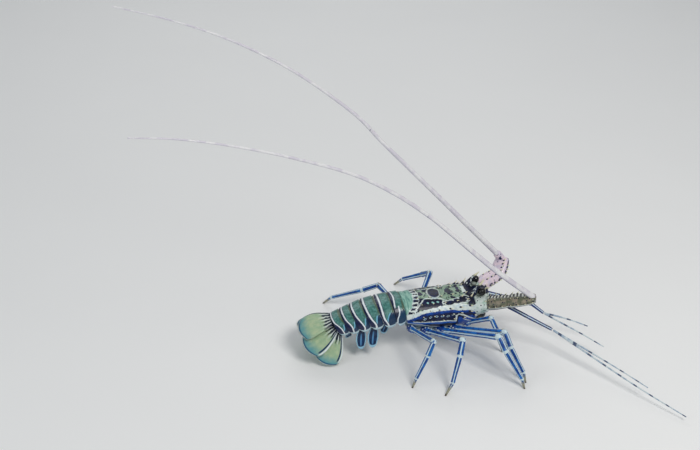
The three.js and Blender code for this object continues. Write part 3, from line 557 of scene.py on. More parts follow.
# The back: sage green with dark blotches and specks
specks = skin.cells(4.5).fall(0.22, 0.26) + skin.cells(2.7).fall(0.2, 0.24)
blotches = skin.noise(7, 2).rise(0.56, 0.59) + specks
skin.colour = mixed(blotches, skin.clouds(SAGE, (168, 190, 164), 2.5, 4, 0.4, 0.7), night)
skin.paint(skin.spot(37, 0.02, 7.4, 0.09), cream)
skin.paint(skin.spots(BACK_SPOTS) + x.rise(72, 75) * s.fall(0.3, 0.33), night)
skin.paint(skin.spot(72.5, 0.05, 2.2, 0.07), cream)

# The flank's dark triangle, bounded by a pale line and marked with a row of dots
under_roof = s - x.path(ROOF, SHELL_LENGTH)
skin.paint(under_roof.band(-0.01, 0.009, 0.004) * x.within(24, 26, 49, 51), cream)
skin.paint(under_roof.rise(0, 0.006) * x.within(17, 18, 42.5, 44), night)
dots = x.wave(27, 5.75) - ((s - 0.187) * 62).math("POWER", 2)
skin.paint(dots.rise(0.1, 0.4) * x.within(24, 25, 41, 42), (150, 205, 200))
skin.paint(skin.spot(44.5, 0.205, 1.8, 0.035), cream)
skin.paint(skin.spots(np.add(oval, SPOT_RIM).tolist() for oval in FLANK_SPOTS), cream)
skin.paint(skin.spots(FLANK_SPOTS), night)
skin.paint(skin.spots(PALE_FLECKS), cream)

# The rear border: a pale green band, then a ladder of dark rungs and a pale slant
from_rungs = x - s.path(RUNGS) * 100
back_half = s.fall(0.42, 0.44)
mint = mixed(skin.noise(1.5, 3, 0.5, (1, 0.15, 0.15)).rise(0.42, 0.62), MINT, (96, 150, 140))
skin.paint(from_rungs.band(5, 3.2, 0.6) * x.fall(24, 26) * s.rise(0.08, 0.1) * back_half, night)
skin.paint(from_rungs.band(0, 3.3, 0.3) * back_half, cream)
skin.paint(from_rungs.band(0, 2.7, 0.4) * s.wave(0.062, 0.0715).rise(-0.45, -0.1) * back_half, night)
skin.paint(from_rungs.fall(-3.6, -3) * back_half, mint)
skin.paint((x - s.path(SLANT) * 100).band(0, 0.95, 0.3) * s.rise(0.09, 0.1) * back_half, cream)

# The dark blue flank below the stripe: a scalloped row of beads, pale lines and a hook
back = skin.colour
under_sill = s - x.path(SILL, SHELL_LENGTH)
skin.colour = mixed(under_sill.rise(0.02, 0.07), ink, night)
beads = x.wave(20.4, 6.9) - ((s - x.path(SCALLOPS, SHELL_LENGTH)) * 60).math("POWER", 2)
bead_row = x.within(17, 18, 57, 58)
skin.paint(beads.rise(-0.35, 0) * bead_row, (188, 212, 206))
skin.paint(beads.rise(0.35, 0.65) * bead_row, ink)
from_line = s - x.path(LOW_LINE, SHELL_LENGTH)
skin.paint(from_line.band(0.03, 0.024, 0.01) * x.fall(58, 60), (18, 92, 186))
skin.paint(from_line.band(0, 0.011, 0.003) * x.within(6, 8, 58, 60), cream)
skin.paint(x.rise(60, 62) * s.rise(0.5, 0.53), (16, 74, 166))
from_hook = s - x.path(HOOK, SHELL_LENGTH)
skin.paint(from_hook.band(0, 0.012, 0.004) * x.rise(58.5, 59), cream)
skin.paint(x.band(58.6, 0.9, 0.3) * s.band(0.525, 0.06, 0.01), cream)
skin.paint(from_hook.band(0.07, 0.009, 0.004) * x.rise(66, 68), cream)
from_margin = s - x.path(MARGIN, SHELL_LENGTH)
skin.paint(from_margin.rise(*EDGE), (96, 126, 150))
skin.paint(from_margin.band(0, 0.01, 0.004), cream)

# The broad pale stripe along the side, between the back and the flank
flank, skin.colour = skin.colour, back
skin.paint((s - x.path(EAVES, SHELL_LENGTH)).rise(*EDGE), cream)
skin.paint(skin.spots(STRIPE_FLECKS), night)
skin.paint(under_sill.rise(*EDGE), flank)

# The head: pale sockets with a few dark specks, dark horns with pale tips
out_wide = skin.y.size()
socket = skin.x.rise(82, 84) * out_wide.rise(8.5, 10) * skin.z.fall(62, 64) * skin.z.rise(38, 42)
pale = skin.clouds(CREAM, (176, 204, 190), 5, 2, 0.4, 0.7)
skin.paint(socket, mixed(skin.cells(4).fall(0.17, 0.22), pale, NIGHT))
patches = mixed(skin.cells(4.5).rise(0.3, 0.36), cream, night)
skin.paint(skin.x.rise(88, 90) * out_wide.fall(8.5, 10), patches)
horn = skin.z.rise(65, 67) * skin.x.rise(75, 78) * out_wide.band(10, 5, 0.5)
skin.paint(horn, mixed(skin.noise(2.5, 2, 0.5, (1, 1, 0.3)).rise(0.55, 0.62), night, cream))
skin.paint(skin.z.rise(75, 78), (228, 224, 190))
skin.paint(skin.x.rise(86, 90) * skin.z.fall(38, 42), (92, 84, 74))
skin.spiny(night, (236, 230, 196), 0.35, 0.6)
relief = skin.cells(1.1).rise(0.1, 0.35) * 0.5 + skin.noise(0.5, 2) * 0.5 + skin.noise(3, 2)
SHELL_FINISH = skin.close(skin.noise(4, 3) * 0.2 + 0.3, relief, 0.22, 0.2)
shell.data.materials.clear()
shell.data.materials.append(SHELL_FINISH)

# Spines lean forward, in five rows each side and singly on the head
SPINE_ROWS = ((0.09, 14), (0.21, 13), (0.33, 12), (0.43, 11), (0.52, 13))
SPINE_SINK = 1.2
HEAD_SPINES = (
    (shell_point(77, 0.2), (0.55, 0.1, 1), 9, 2),
    (shell_point(66, 0.17), (0.7, 0.1, 0.9), 7, 1.7),
    ((84, 20, 57), (1, 0.35, 0.5), 6, 1.6),
    ((83, 22.5, 51), (1, 0.55, 0.3), 5, 1.5),
    ((97, 6.6, 64.2), (0.55, 0.2, 1), 8, 1.7),
    ((101.5, 3.4, 63), (0.9, 0.2, 0.9), 5, 1.3),
    ((92, 22.5, 60), (0.9, 0.5, 0.6), 4.5, 1.4),
)
random = np.random.default_rng(7)
rows = []
for side in (-1, 1):
    for row, (share, step) in enumerate(SPINE_ROWS):
        for place in np.arange(15 + 4 * (row % 2), 84, step):
            x = place + 2.4 * (random.random() - 0.5)
            root = shell_point(x, side * share)
            outward = unit(root - [x, 0, AXIS_Z])
            length = 2.8 + 3.6 * (x / SHELL_LENGTH) ** 2 + 0.8 * random.random()
            rows.append((root - outward, [1.05, 0, 0] + 0.75 * outward, 0.6 + 0.16 * length, length))
    for root, away, length, radius in HEAD_SPINES:
        way = unit(mirrored(away, side))
        rows.append((mirrored(root, side) - SPINE_SINK * way, way, radius, length + SPINE_SINK))
joined(shell, thorns(*zip(*rows), SHELL_FINISH))
handed_over(shell, "carapace")

# The breast plate carries the hips under the shell, a pale jointed plate of seven bars
# fused into one.
STERNUM_ROWS = np.array([[2, 14, 33, 4], [10, 15, 30, 5], [30, 15, 25, 6], [55, 12, 22.5, 5.5],
                         [74, 8, 22.5, 4.5]])
STERNUM_RINGS = 60
STERNUM_ROUNDNESS = 0.7
BAR_SPACING = 12
BAR_RISE = 0.5


def dressed(node, slot, finish, skins, *grown):
    """A piece in one finish, joined with what grows on it, in place of its node."""
    thing = mesh_of(node, skins)
    thing.data.materials.append(finish)
    if grown:
        joined(thing, *grown)
    handed_over(thing, node)


skin = Finish("breast_plate")
mottle = skin.noise(5, 3)
skin.colour = mixed(mottle.rise(0.4, 0.65), (60, 90, 120), (150, 170, 170))
BREAST_FINISH = skin.close(mottle * 0.2 + 0.35, skin.noise(1, 3), 0.2)
places = np.linspace(STERNUM_ROWS[0, 0], STERNUM_ROWS[-1, 0], STERNUM_RINGS)
half, middle, deep = along_rows(STERNUM_ROWS[:, 0], STERNUM_ROWS[:, 1:], places).T
deep = deep + BAR_RISE * (np.cos(places * 2 * np.pi / BAR_SPACING) - 1)
plate = tube(hoops(places, half, middle, deep, 32, STERNUM_ROUNDNESS), places)
dressed("sternum", "shell", BREAST_FINISH, [plate])

# Each eye is a round black ball of thousands of tiny facets, on a short pale stalk that
# comes out under its horn.
SIDES = {"right": -1, "left": 1}
EYE = np.array([92, 13.3, 68])
EYE_RADIUS = 4.8
EYE_STALK = (-3.2, -4.4, -5.2)
EYE_STALK_RADII = (3.2, 3.3)
skin = Finish("eye")
facets = skin.cells(0.35, 0.2)
skin.colour = mixed(skin.u.rise(0.2, 0.24), (150, 160, 150), (6, 6, 9))
EYE_FINISH = skin.close(facets * 0.1 + 0.08, facets, 0.03, 0.6)
for name, side in SIDES.items():
    centre, root = mirrored(EYE, side), mirrored(EYE + EYE_STALK, side)
    way = unit(centre - root)
    swing = np.linspace(-1.1, math.pi / 2 - 0.05, 24)
    line = [root, lerp(root, centre, 0.4), *(centre + way * EYE_RADIUS * math.sin(w) for w in swing)]
    girth = [*EYE_STALK_RADII, *(EYE_RADIUS * np.cos(swing))]
    ball = rod(line, girth, girth, 40, [0, 0.1, *np.linspace(0.15, 1, 24)])
    dressed(f"eye_{name}", "eyes", EYE_FINISH, [ball])

# The stalk of each antenna has two broad, flattened free joints with rows of spines
# along their edges, and a short swivel that holds the whip's root.
STALK_WIDTH = [[0, 0.92], [0.2, 1], [0.42, 0.96], [0.6, 1], [0.85, 0.95], [1, 0.76]]
STALK_HEIGHT = [[0, 1.05], [0.2, 1.06], [0.42, 0.94], [0.6, 0.94], [0.85, 0.8], [1, 0.64]]
STALK_HALF_WIDTH = 10.5
STALK_HALF_HEIGHT = 7.2
STALK_JOINTS = ((0.012, 0.47), (0.478, 1.0))
STALK_SPINE_ANGLES = (4, 62, 118, 176)
STALK_SPINE_RADIUS = 1.15
INNER_SPINE_STEP = 0.11
OUTER_SPINE_STEP = 0.14
ANTENNAE = {
    "right": (-1, (121, -32, 63.5), (147, -43.5, 71.5)),
    "left": (1, (126, 29.5, 59.5), (136.5, 43.2, 73.4)),
}
WHIPS = {
    "right": (0.36, [(144.1, -43.2, 73.6), (99.7, -47.6, 115.4), (73.7, -50.2, 142.3), (36.2, -54, 182.5),
                     (12.3, -56.4, 207.2), (-27.8, -60.4, 242.5), (-73.2, -64.9, 273.5), (-133.8, -71, 302.3),
                     (-191.7, -76.8, 324.9), (-247.3, -82.3, 341.9), (-293.1, -86.9, 350.7)]),
    "left": (0.42, [(128.6, 41.8, 80.2), (93.8, 48.7, 118.4), (57, 56.1, 159.5), (21.5, 63.2, 198.7),
                    (-10, 69.5, 233.7), (-42.9, 76.1, 271.2), (-106, 88.7, 321.6), (-167.4, 101, 356.6),
                    (-227.7, 113, 380.5), (-294.1, 126.3, 398.9)]),
}
SWIVEL_START = 0.93
SWIVEL_LIP = 2
SWIVEL_MOUTH = 3.6
SWIVEL_RADII = [[0, 4.6], [0.4, 4.9], [0.7, 4.9], [0.95, 4.7], [1, 4.2]]
stalk_finishes = {}

# The right stalk is olive grey with a chequered inner edge and a dark line below
skin = Finish("antenna_stalk_right")
face = skin.clouds((100, 104, 84), (154, 142, 124), 5, 4)
face = mixed(skin.cells(3.4).fall(0.24, 0.3), face, (34, 30, 58))
checks = (skin.u + skin.drift(0.02, 3)).wave(0.03, 0.07).rise(-0.2, 0.1)
edge = mixed(checks, (226, 228, 216), (10, 14, 34))
skin.colour = mixed((skin.v + skin.drift(0.08, 3)).band(0.19, 0.09, 0.012), face, edge)
skin.paint(skin.v.band(0.545, 0.02, 0.008), (222, 228, 222))
skin.paint(skin.v.band(0.6, 0.035, 0.01), (10, 24, 66))
skin.paint(skin.u.fall(0.03, 0.05) * skin.v.band(0.4, 0.25, 0.05), CREAM)
skin.spiny((16, 22, 44), (232, 230, 190))
stalk_finishes["right"] = skin.close(skin.noise(4) * 0.25 + 0.22, skin.grit(), 0.25, 0.35)

# The left stalk is a pinkish white with navy specks and navy at its spiny edges
skin = Finish("antenna_stalk_left")
face = skin.clouds((234, 214, 224), (212, 202, 220), 6, 4)
face = mixed(skin.cells(4.2).fall(0.15, 0.2), face, (30, 34, 84))
fringe = skin.v.wave(0, 0.5).rise(0.72, 0.86) * skin.noise(3.4, 2).rise(0.47, 0.53)
skin.colour = mixed(fringe, face, (20, 30, 78))
skin.spiny((24, 32, 74), (226, 232, 176))
stalk_finishes["left"] = skin.close(skin.noise(4) * 0.25 + 0.22, skin.grit(), 0.25, 0.35)


def stalk_point(name, s):
    side, elbow, end = ANTENNAE[name]
    root = mirrored(SOCKET_END, side)
    return lerp(root, elbow, s * 2) if s < 0.5 else lerp(elbow, end, s * 2 - 1)


def spoke(side, up, w):
    """The way out of a line at the angle w round it."""
    return side * math.cos(w) + up * math.sin(w)


for name, (side, *_) in ANTENNAE.items():
    for joint, (start, stop) in enumerate(STALK_JOINTS):
        share = (1 - np.cos(np.linspace(0, np.pi, 40))) / 2
        s = start + (stop - start) * share
        line = np.array([stalk_point(name, k) for k in s])
        rim = 0.9 + 0.1 * (ease(0, 0.1, share) - ease(0.9, 1, share))
        wide = STALK_HALF_WIDTH * along(STALK_WIDTH, s)
        tall = STALK_HALF_HEIGHT * along(STALK_HEIGHT, s)
        skins = [rod(line, wide * rim, tall * rim, 48, s)]
        heading, across, up = (axes[0] for axes in frames(line))
        random = np.random.default_rng(3 + joint)
        rows = []
        for degrees in STALK_SPINE_ANGLES:
            inner = degrees < 90 if side < 0 else degrees > 90
            w = math.radians(degrees)
            step = INNER_SPINE_STEP if inner else OUTER_SPINE_STEP
            for k in np.arange(start + 0.06, stop - 0.04, step):
                wide = STALK_HALF_WIDTH * along(STALK_WIDTH, k)
                tall = STALK_HALF_HEIGHT * along(STALK_HEIGHT, k)
                root = stalk_point(name, k) + spoke(across * wide, up * tall, w)
                way = unit(spoke(across, up, w) + 0.9 * heading)
                length = 3.6 + 1.2 * random.random() + (0.8 if inner else 0)
                rows.append((root - way, way, STALK_SPINE_RADIUS, length))
        if joint == 1:
            first, second = np.array(WHIPS[name][1][:2], float)
            inside = stalk_point(name, SWIVEL_START)
            lip = first + SWIVEL_LIP * unit(second - first)
            k = np.linspace(0, 1, 16)
            girth = [*along(SWIVEL_RADII, k), SWIVEL_MOUTH]
            line = [*(lerp(inside, lip, u) for u in k), lerp(inside, lip, 0.97)]
            skins.append(rod(line, girth, girth, 32, [*(0.86 + 0.1 * k), 0.97]))
        spines = thorns(*zip(*rows), stalk_finishes[name])
        dressed(f"antenna_{name}_stalk_{joint + 1}", "stalks", stalk_finishes[name], skins, spines)

# The whips are long tapering lashes of many short rings, swept back over the body, with
# small barbs that point to the tip. Each is a thick piece and a thin one.
WHIP_RADIUS = 3.5
WHIP_END_RADIUS = 0.7
WHIP_STEPS = 800
WHIP_RING = 1.3
BARB_ANGLES = (0.4, 2.2, 4.1, 5.4)
FINE_STEPS = 2000


def through(points, count):
    """Evenly spaced points on a smooth line through the given ones."""
    points = np.array(points, float)
    gaps = np.sqrt(np.linalg.norm(np.diff(points, axis=0), axis=1))
    t = np.concatenate([[0], np.cumsum(gaps)])
    line = along_rows(t, points, np.linspace(0, t[-1], FINE_STEPS))
    run = reach(line)
    even = np.linspace(0, run[-1], count)
    return np.stack([np.interp(even, run, column) for column in line.T], -1)


skin = Finish("whip")
pale = skin.clouds((240, 240, 240), (220, 216, 226), 12, 3, 0.4, 0.6)
# The lilac grey band along the underside of each whip is painted shade under the white lash
skin.colour = mixed(skin.v.band(0.72, 0.16, 0.06), pale, (150, 150, 186))
skin.paint(skin.u.wave(0, WHIP_RING).rise(0.55, 0.95) * 0.5, (196, 190, 204))
skin.paint(skin.tip.rise(0.3, 0.6), (236, 214, 190))
WHIP_FINISH = skin.close(skin.noise(2) * 0.2 + 0.3, skin.u.wave(WHIP_RING / 2, WHIP_RING), 0.05)
for name, (split, points) in WHIPS.items():
    line = through(points, WHIP_STEPS + 1)
    share = np.linspace(0, 1, WHIP_STEPS + 1)
    girth = lerp(WHIP_RADIUS, WHIP_END_RADIUS, share**0.85)
    run = share * reach(line)[-1]
    heading, across, up = frames(line)
    cut = int(split * WHIP_STEPS)
    for part, (a, b) in enumerate(((0, cut), (cut + 1, WHIP_STEPS + 1)), 1):
        rows = []
        for k in range(max(a, 8), b - 2, 3):
            for w in BARB_ANGLES:
                away = spoke(across[k], up[k], w + 0.3 * (k % 2))
                size = 0.35 + 0.28 * girth[k]
                rows.append((line[k] + away * girth[k] * 0.9, heading[k] + 0.7 * away, size * 0.22, size))
        lash = rod(line[a:b], girth[a:b], girth[a:b], 18, run[a:b])
        barbs = thorns(*zip(*rows), WHIP_FINISH, 4, 1)
        dressed(f"antenna_{name}_whip_{part}", "whips", WHIP_FINISH, [lash], barbs)

# The antennules are two thin stalks of three joints between the antennae, each with two
# fine ringed lashes at its end.
ANTENNULES = {
    "right": {
        "stalk": [(102, -5, 53), (122, -23, 49.5), (141, -41, 44), (167.8, -53.7, 30.6)],
        "outer": [(167.8, -53.7, 30.6), (200, -101, 21), (235, -153, 12), (269, -203, 6)],
        "inner": [(167.8, -53.7, 30.6), (195, -90, 25), (222, -127, 19.5), (243, -158, 15)],
    },
    "left": {
        "stalk": [(102, 5, 53), (131, -2, 45.5), (158, -9, 37), (171, -16, 27)],
        "outer": [(171, -16, 27), (186, -22, 24.5), (202, -31, 22), (218, -42, 19)],
        "inner": [(171, -16, 27), (187, -36, 24), (204, -58, 21.5), (221, -83, 19)],
    },
}
ANTENNULE_RADII = (2.9, 2.5, 2.3, 1.9)
LASH_RADII = {"outer": 1.25, "inner": 1.15}
LASH_END_RADIUS = 0.6
LASH_STEPS = 160
LASH_SKIP = 2
skin = Finish("antennule_stalk")
skin.colour = skin.clouds((6, 22, 78), (10, 48, 132), 4, 2, 0.4, 0.6)
skin.paint(skin.v.wave(0.13, 0.25).rise(0.4, 0.6), (206, 226, 236))
ANTENNULE_FINISH = skin.close(skin.noise(2) * 0.2 + 0.25, skin.grit(), 0.15)
skin = Finish("antennule_lash")
skin.colour = skin.clouds((206, 218, 222), (160, 180, 200), 8, 2, 0.4, 0.6)
skin.paint(skin.u.wave(9, 21).rise(0.72, 0.82), (70, 88, 120))
LASH_FINISH = skin.close(skin.noise(2) * 0.2 + 0.35, skin.u.wave(0, 1.1), 0.06)
for name, lines in ANTENNULES.items():
    line, girth = [], []
    for k in range(3):
        for s in np.linspace(0.02, 0.98, 14):
            line.append(lerp(*lines["stalk"][k:k + 2], s))
            waist = 0.25 * (2 * s - 1) ** 2 - 0.1 - 0.5 * (hump(s, 0, 0.03) + hump(s, 1, 0.03))
            girth.append(lerp(*ANTENNULE_RADII[k:k + 2], s) + waist)
    dressed(f"antennule_{name}_stalk", "legs", ANTENNULE_FINISH, [rod(line, girth, girth, 20)])
    for kind, radius in LASH_RADII.items():
        line = through(lines[kind], LASH_STEPS)[LASH_SKIP:]
        girth = np.linspace(radius, LASH_END_RADIUS, len(line))
        dressed(f"antennule_{name}_{kind}", "whips", LASH_FINISH, [rod(line, girth, girth, 12)])

# Ten walking legs: each has an upper half from hip to knee and a lower half from knee
# to toe, smooth rods with a swelling at every joint and short hairs on the toe.
LEG_RADIUS = 3.6
FOOT_RADIUS = 0.9
LEGS = {
    "right_1": (0.86, [(72, -15, 27), (97.5, -37, 46), (103.6, -40.5, 31), (109.5, -44, 10),
                       (111.5, -45, 0)]),
    "right_2": (1, [(54, -16.5, 24.5), (103, -70, 48.5), (106.5, -82, 36), (118.5, -99, 10),
                    (119.8, -104.5, 0)]),
    "right_3": (1, [(38, -17.5, 24.5), (92.5, -79.8, 51.3), (97.3, -91.3, 38.8), (113.5, -109, 9),
                    (115, -114.3, 0)]),
    "right_4": (1, [(21, -18, 27), (50.4, -78.7, 52.3), (44.7, -88.3, 38.8), (34, -100, 10),
                    (23.8, -107.5, 0)]),
    "right_5": (0.92, [(4.5, -17.5, 32.5), (17.8, -74.3, 52.4), (10.4, -78.3, 36.7), (-4, -83.5, 10),
                       (-8.9, -86.2, 0)]),
    "left_1": (0.86, [(72, 15, 27), (97, 31, 33), (103, 36, 25), (111, 42, 9), (113, 44, 0)]),
    "left_2": (1, [(54, 16.5, 24.5), (86, 49, 29), (90, 59, 21), (95, 73, 7), (96, 77, 0)]),
    "left_3": (1, [(38, 17.5, 24.5), (72, 58, 28.5), (73, 69, 20), (72, 83, 8), (71, 88, 0)]),
    "left_4": (1, [(21, 18, 27), (54.1, 73.8, 42.4), (48.4, 88, 31), (28, 107, 14), (20, 117, 0)]),
    "left_5": (0.92, [(4.5, 17.5, 32.5), (-12.5, 71, 35), (-31, 75, 27.5), (-68, 89, 12), (-77, 95.5, 0)]),
}
UPPER_ROWS = [[0, 1.3], [0.03, 1.45], [0.12, 1.42], [0.15, 1.2], [0.16, 1.05], [0.2, 1.12], [0.225, 1.08],
              [0.235, 0.84], [0.26, 0.88], [0.45, 0.94], [0.8, 0.98], [0.93, 1.1], [1, 1.05]]
LOWER_ROWS = [[0, 0.88], [0.08, 0.86], [0.25, 0.96], [0.82, 1], [0.94, 1.08], [0.985, 1], [1, 0.78],
              [1.03, 0.8], [1.15, 0.85], [1.6, 0.72], [1.9, 0.7], [1.96, 0.74], [2, 0.58], [2.03, 0.5],
              [2.12, 0.52], [2.6, 0.37]]
LEG_SPINES = ((0.95, 0, 3.2, 0.75), (0.95, 0.9, 2.4, 0.6), (0.95, -0.9, 2.4, 0.6), (0.13, 0.3, 1.8, 0.6))
LEG_FLATNESS = 0.92
UPPER_KNEE = 1.02
LOWER_KNEE = 0.86
LEG_HAIRS = 90
LEG_HAIR_RADIUS = 0.09
HAIRY_SHARE = (0.7, 0.985)
BARE_HEIGHT = 2.4
PALE_JOINT_AND_HIGHLIGHT = (206, 226, 232)
skin = Finish("leg")
stripes = (skin.v + skin.drift(0.03, 4)).wave(0.22, 0.25)
skin.colour = skin.clouds((2, 62, 142), (8, 108, 190), 6, 3)
skin.paint(stripes.rise(0.1, 0.4), NIGHT)
skin.paint(stripes.rise(0.52, 0.68), (196, 222, 236))
skin.paint(skin.u.fall(-0.87, -0.84), mixed(skin.cells(3).fall(0.28, 0.34), (16, 60, 140), CREAM))
knuckles = (skin.u + 0.5).math("FRACT").band(0.5, 0.05, 0.01) * skin.u.within(0.4, 0.5, 2.2, 2.3)
skin.paint(knuckles, PALE_JOINT_AND_HIGHLIGHT)
# The knee is a white ball with blue spots; its white is partly the joint's pale colour and partly painted
# highlight where the knee catches the light
skin.paint(skin.u.band(0, 0.034, 0.006), mixed(skin.cells(3.2).fall(0.26, 0.34), PALE_JOINT_AND_HIGHLIGHT, (20, 92, 168)))
skin.paint(skin.u.rise(2.05, 2.5), (150, 150, 130))
skin.paint(skin.u.rise(2.75, 2.95), (70, 58, 44))
skin.spiny((176, 158, 120))
LEG_FINISH = skin.close(skin.noise(3) * 0.25 + 0.22, skin.grit(), 0.18, 0.35)


def capped(end, way, radius, start, stop):
    """Stations of a round end: its points and radii from one latitude to another."""
    w = np.radians(np.linspace(start, stop, 8))
    return end + np.outer(radius * 0.9 * np.sin(w), way), radius * np.cos(w)


def hairs(roots, leans, radius, lengths, finish):
    """Spines too thin to show more than three sides."""
    return thorns(roots, leans, radius, lengths, finish, 3, 1)


for name, (size, joints) in LEGS.items():
    r = LEG_RADIUS * size
    joints = np.array(joints, float)
    hip, knee, shin = joints[:3]
    s = np.linspace(0, 1, 70)
    way = unit(knee - hip)
    end, end_girth = capped(knee, way, r * UPPER_KNEE, 8, 86)
    line = np.concatenate([[lerp(hip, knee, k) for k in s], end])
    girth = np.concatenate([r * along(UPPER_ROWS, s), end_girth])
    run = np.concatenate([s - 1, np.linspace(-0.002, -0.024, 8)])
    above = unit(np.cross(way, np.cross([0, 0, 1], way)))
    rows = []
    for k, w, length, radius in LEG_SPINES:
        away = spoke(above, np.cross(above, way), w)
        rows.append((lerp(hip, knee, k) + away * r * 0.95, way + 0.7 * away, radius, length))
    upper = rod(line, girth * LEG_FLATNESS, girth, 28, run)
    dressed(f"leg_{name}_upper", "legs", LEG_FINISH, [upper], thorns(*zip(*rows), LEG_FINISH))

    start, start_girth = capped(knee, unit(shin - knee), r * LOWER_KNEE, -84, -8)
    s = np.append(np.linspace(0.02, 2.9, 110), 3.0)
    spans = np.minimum(s, 2.999).astype(int) + 1
    line = np.concatenate([start, [lerp(joints[i], joints[i + 1], k + 1 - i) for k, i in zip(s, spans)]])
    girth = r * along(LOWER_ROWS + [[3, FOOT_RADIUS / r]], s[:-1])
    girth = np.concatenate([start_girth, girth, [FOOT_RADIUS]])
    points, faces, lays = rod(line, girth, girth, 28, np.concatenate([np.linspace(-0.024, -0.002, 8), s]))
    points[:, 2] = np.maximum(points[:, 2], 0)
    heading, across, up = frames(line)
    random = np.random.default_rng(int(1000 * r) + len(name))
    rows = []
    for _ in range(LEG_HAIRS):
        spot = int(len(line) * random.uniform(*HAIRY_SHARE))
        away = spoke(across[spot], up[spot], random.uniform(0, 2 * math.pi))
        if line[spot][2] >= BARE_HEIGHT:
            length = random.uniform(1.3, 2.4) * min(1, line[spot][2] / 5)
            root = line[spot] + away * girth[spot] * 0.8
            rows.append((root, heading[spot] + 0.55 * away, LEG_HAIR_RADIUS, length))
    lower = [(points, faces, lays)]
    dressed(f"leg_{name}_lower", "legs", LEG_FINISH, lower, hairs(*zip(*rows), LEG_FINISH))

# The two mouth limbs are curled up in front of the mouth like a pair of thick hairy
# palps. Each row is a joint's place and radius.
JAW_ROWS = np.array([[74, 6.5, 29, 3.4], [82, 7.5, 27, 3.6], [91, 8, 26.5, 3.2], [97, 7.6, 29.5, 2.8],
                     [98.5, 7, 34, 2.3], [96.5, 6.4, 37.5, 1.6]])
PALP_END = (0.9, 0.75, 0.5, 0.2)
PALP_HAIRS = 160
PALP_HAIR_RADIUS = 0.08
HAIRY_STATIONS = (24, 58)
skin = Finish("mouth_limb")
skin.colour = skin.clouds((62, 70, 78), (128, 116, 96), 4, 3)
skin.paint(skin.v.wave(0.2, 0.5).rise(0.6, 0.8), (170, 190, 196))
skin.spiny((150, 116, 74))
PALP_FINISH = skin.close(skin.noise(3) * 0.25 + 0.3, skin.grit(), 0.2)
for name, side in SIDES.items():
    s = np.linspace(0, 5, 60)
    line = along_rows(np.arange(6), JAW_ROWS[:, :3] * [1, side, 1], s)
    girth = along(np.stack([np.arange(6), JAW_ROWS[:, 3]], -1), s)
    girth = girth * (1 - 0.1 * hump(s, 2, 0.08) - 0.12 * hump(s, 3.4, 0.08))
    girth[-4:] *= PALP_END
    heading, across, up = frames(line)
    random = np.random.default_rng(11)
    rows = []
    for _ in range(PALP_HAIRS):
        spot = random.integers(*HAIRY_STATIONS)
        away = spoke(across[spot], up[spot], random.uniform(0, 2 * math.pi))
        root = line[spot] + away * girth[spot] * 0.85
        rows.append((root, 0.5 * heading[spot] + away, PALP_HAIR_RADIUS, random.uniform(0.9, 1.9)))
    palp = rod(line, girth, girth, 24, s)
    dressed(f"maxilliped_{name}", "mouthparts", PALP_FINISH, [palp], hairs(*zip(*rows), PALP_FINISH))

# The tail has six overlapping rings of shell. Each slips under the one before it and
# ends at its sides in a hanging tooth. Each edge row is its place, height, lean and sizes.
EDGES = np.array([[-3.2, 67.4, 8, 0.94, 0.96], [-16, 67, 11, 0.98, 1], [-33, 64.9, 17, 0.97, 0.96],
                  [-49.2, 61.8, 21, 0.93, 0.91], [-62.8, 57.4, 24, 0.86, 0.85], [-74.6, 53.2, 26, 0.79, 0.78],
                  [-86, 49.2, 28, 0.68, 0.7]])
TAIL_HALF_WIDTH = 25.5
TAIL_RISE = 18.8
TAIL_ROUNDNESS = 0.9
TAIL_GAP = 0.35
TOOTH = [[0, 0.2], [0.25, 0.7], [0.6, 1], [0.85, 0.75], [1, 0.2]]
TOOTH_DROP = 7.5
TUCK = 1.1
BELLY = ((0.72, -2.2), (0.55, -2.9), (0.4, -3.4), (0.2, -3.7), (0, -3.8))
OVER_POINTS = 61
UNDER_POINTS = 19
PLATE_HAIRS = 70
PLATE_HAIR_RADIUS = 0.08


def tail_ring(index, s):
    """The outline of a tail ring at share s along it, over the back and then the belly."""
    x, z, lean, wide, high = lerp(EDGES[index - 1], EDGES[index], s)
    step = -TUCK * (1 - ease(0.1, 0.16, s)) - 0.25 * ease(0.94, 1, s)
    t = math.radians(lean)
    up = np.array([-math.sin(t), 0, math.cos(t)])
    centre = np.array([x, 0, z]) - up * TAIL_RISE * high
    a = np.linspace(-np.pi / 2, np.pi / 2, OVER_POINTS)
    tooth = TOOTH_DROP * high * along(TOOTH, s)
    flank = np.array([[0.993, -0.5 * tooth], [0.985, -tooth], [0.93, -tooth - 0.4], [0.86, -tooth - 0.2],
                      [0.78, -0.5 * tooth - 1.2], *BELLY])
    belly = np.concatenate([flank, (flank * [-1, 1])[-2::-1]])
    out = np.append(power(np.sin(a), TAIL_ROUNDNESS), belly[:, 0]) * (TAIL_HALF_WIDTH * wide + step)
    over = power(np.cos(a), TAIL_ROUNDNESS) * (TAIL_RISE * high + step)
    return centre + np.outer(out, [0, 1, 0]) + np.outer(np.append(over, belly[:, 1]), up)


# How far from the front each ring's pale band runs, from the ridge to the tooth
BANDS = (
    [[0, 0.68], [0.4, 0.82], [0.62, 0.93], [1, 1.15], [3, 1.15]],
    [[0, 0.77], [0.4, 0.8], [0.8, 0.83], [1, 0.71], [1.3, 0.68], [3, 0.68]],
    [[0, 0.85], [0.4, 0.81], [0.7, 0.72], [0.95, 0.58], [1.2, 0.62], [3, 0.62]],
    [[0, 0.85], [0.4, 0.77], [0.7, 0.6], [0.95, 0.5], [1.2, 0.6], [3, 0.6]],
    [[0, 0.82], [0.4, 0.75], [0.8, 0.5], [1.1, 0.6], [3, 0.6]],
    [[0, 0.95], [0.4, 0.85], [0.6, 0.65], [0.8, 0.5], [1.1, 0.5], [3, 0.5]],
)
BAND_PLACE = 0.8
SECOND_BAND = [[0.42, 0.46], [0.7, 0.394], [0.9, 0.53], [1.3, 0.61]]


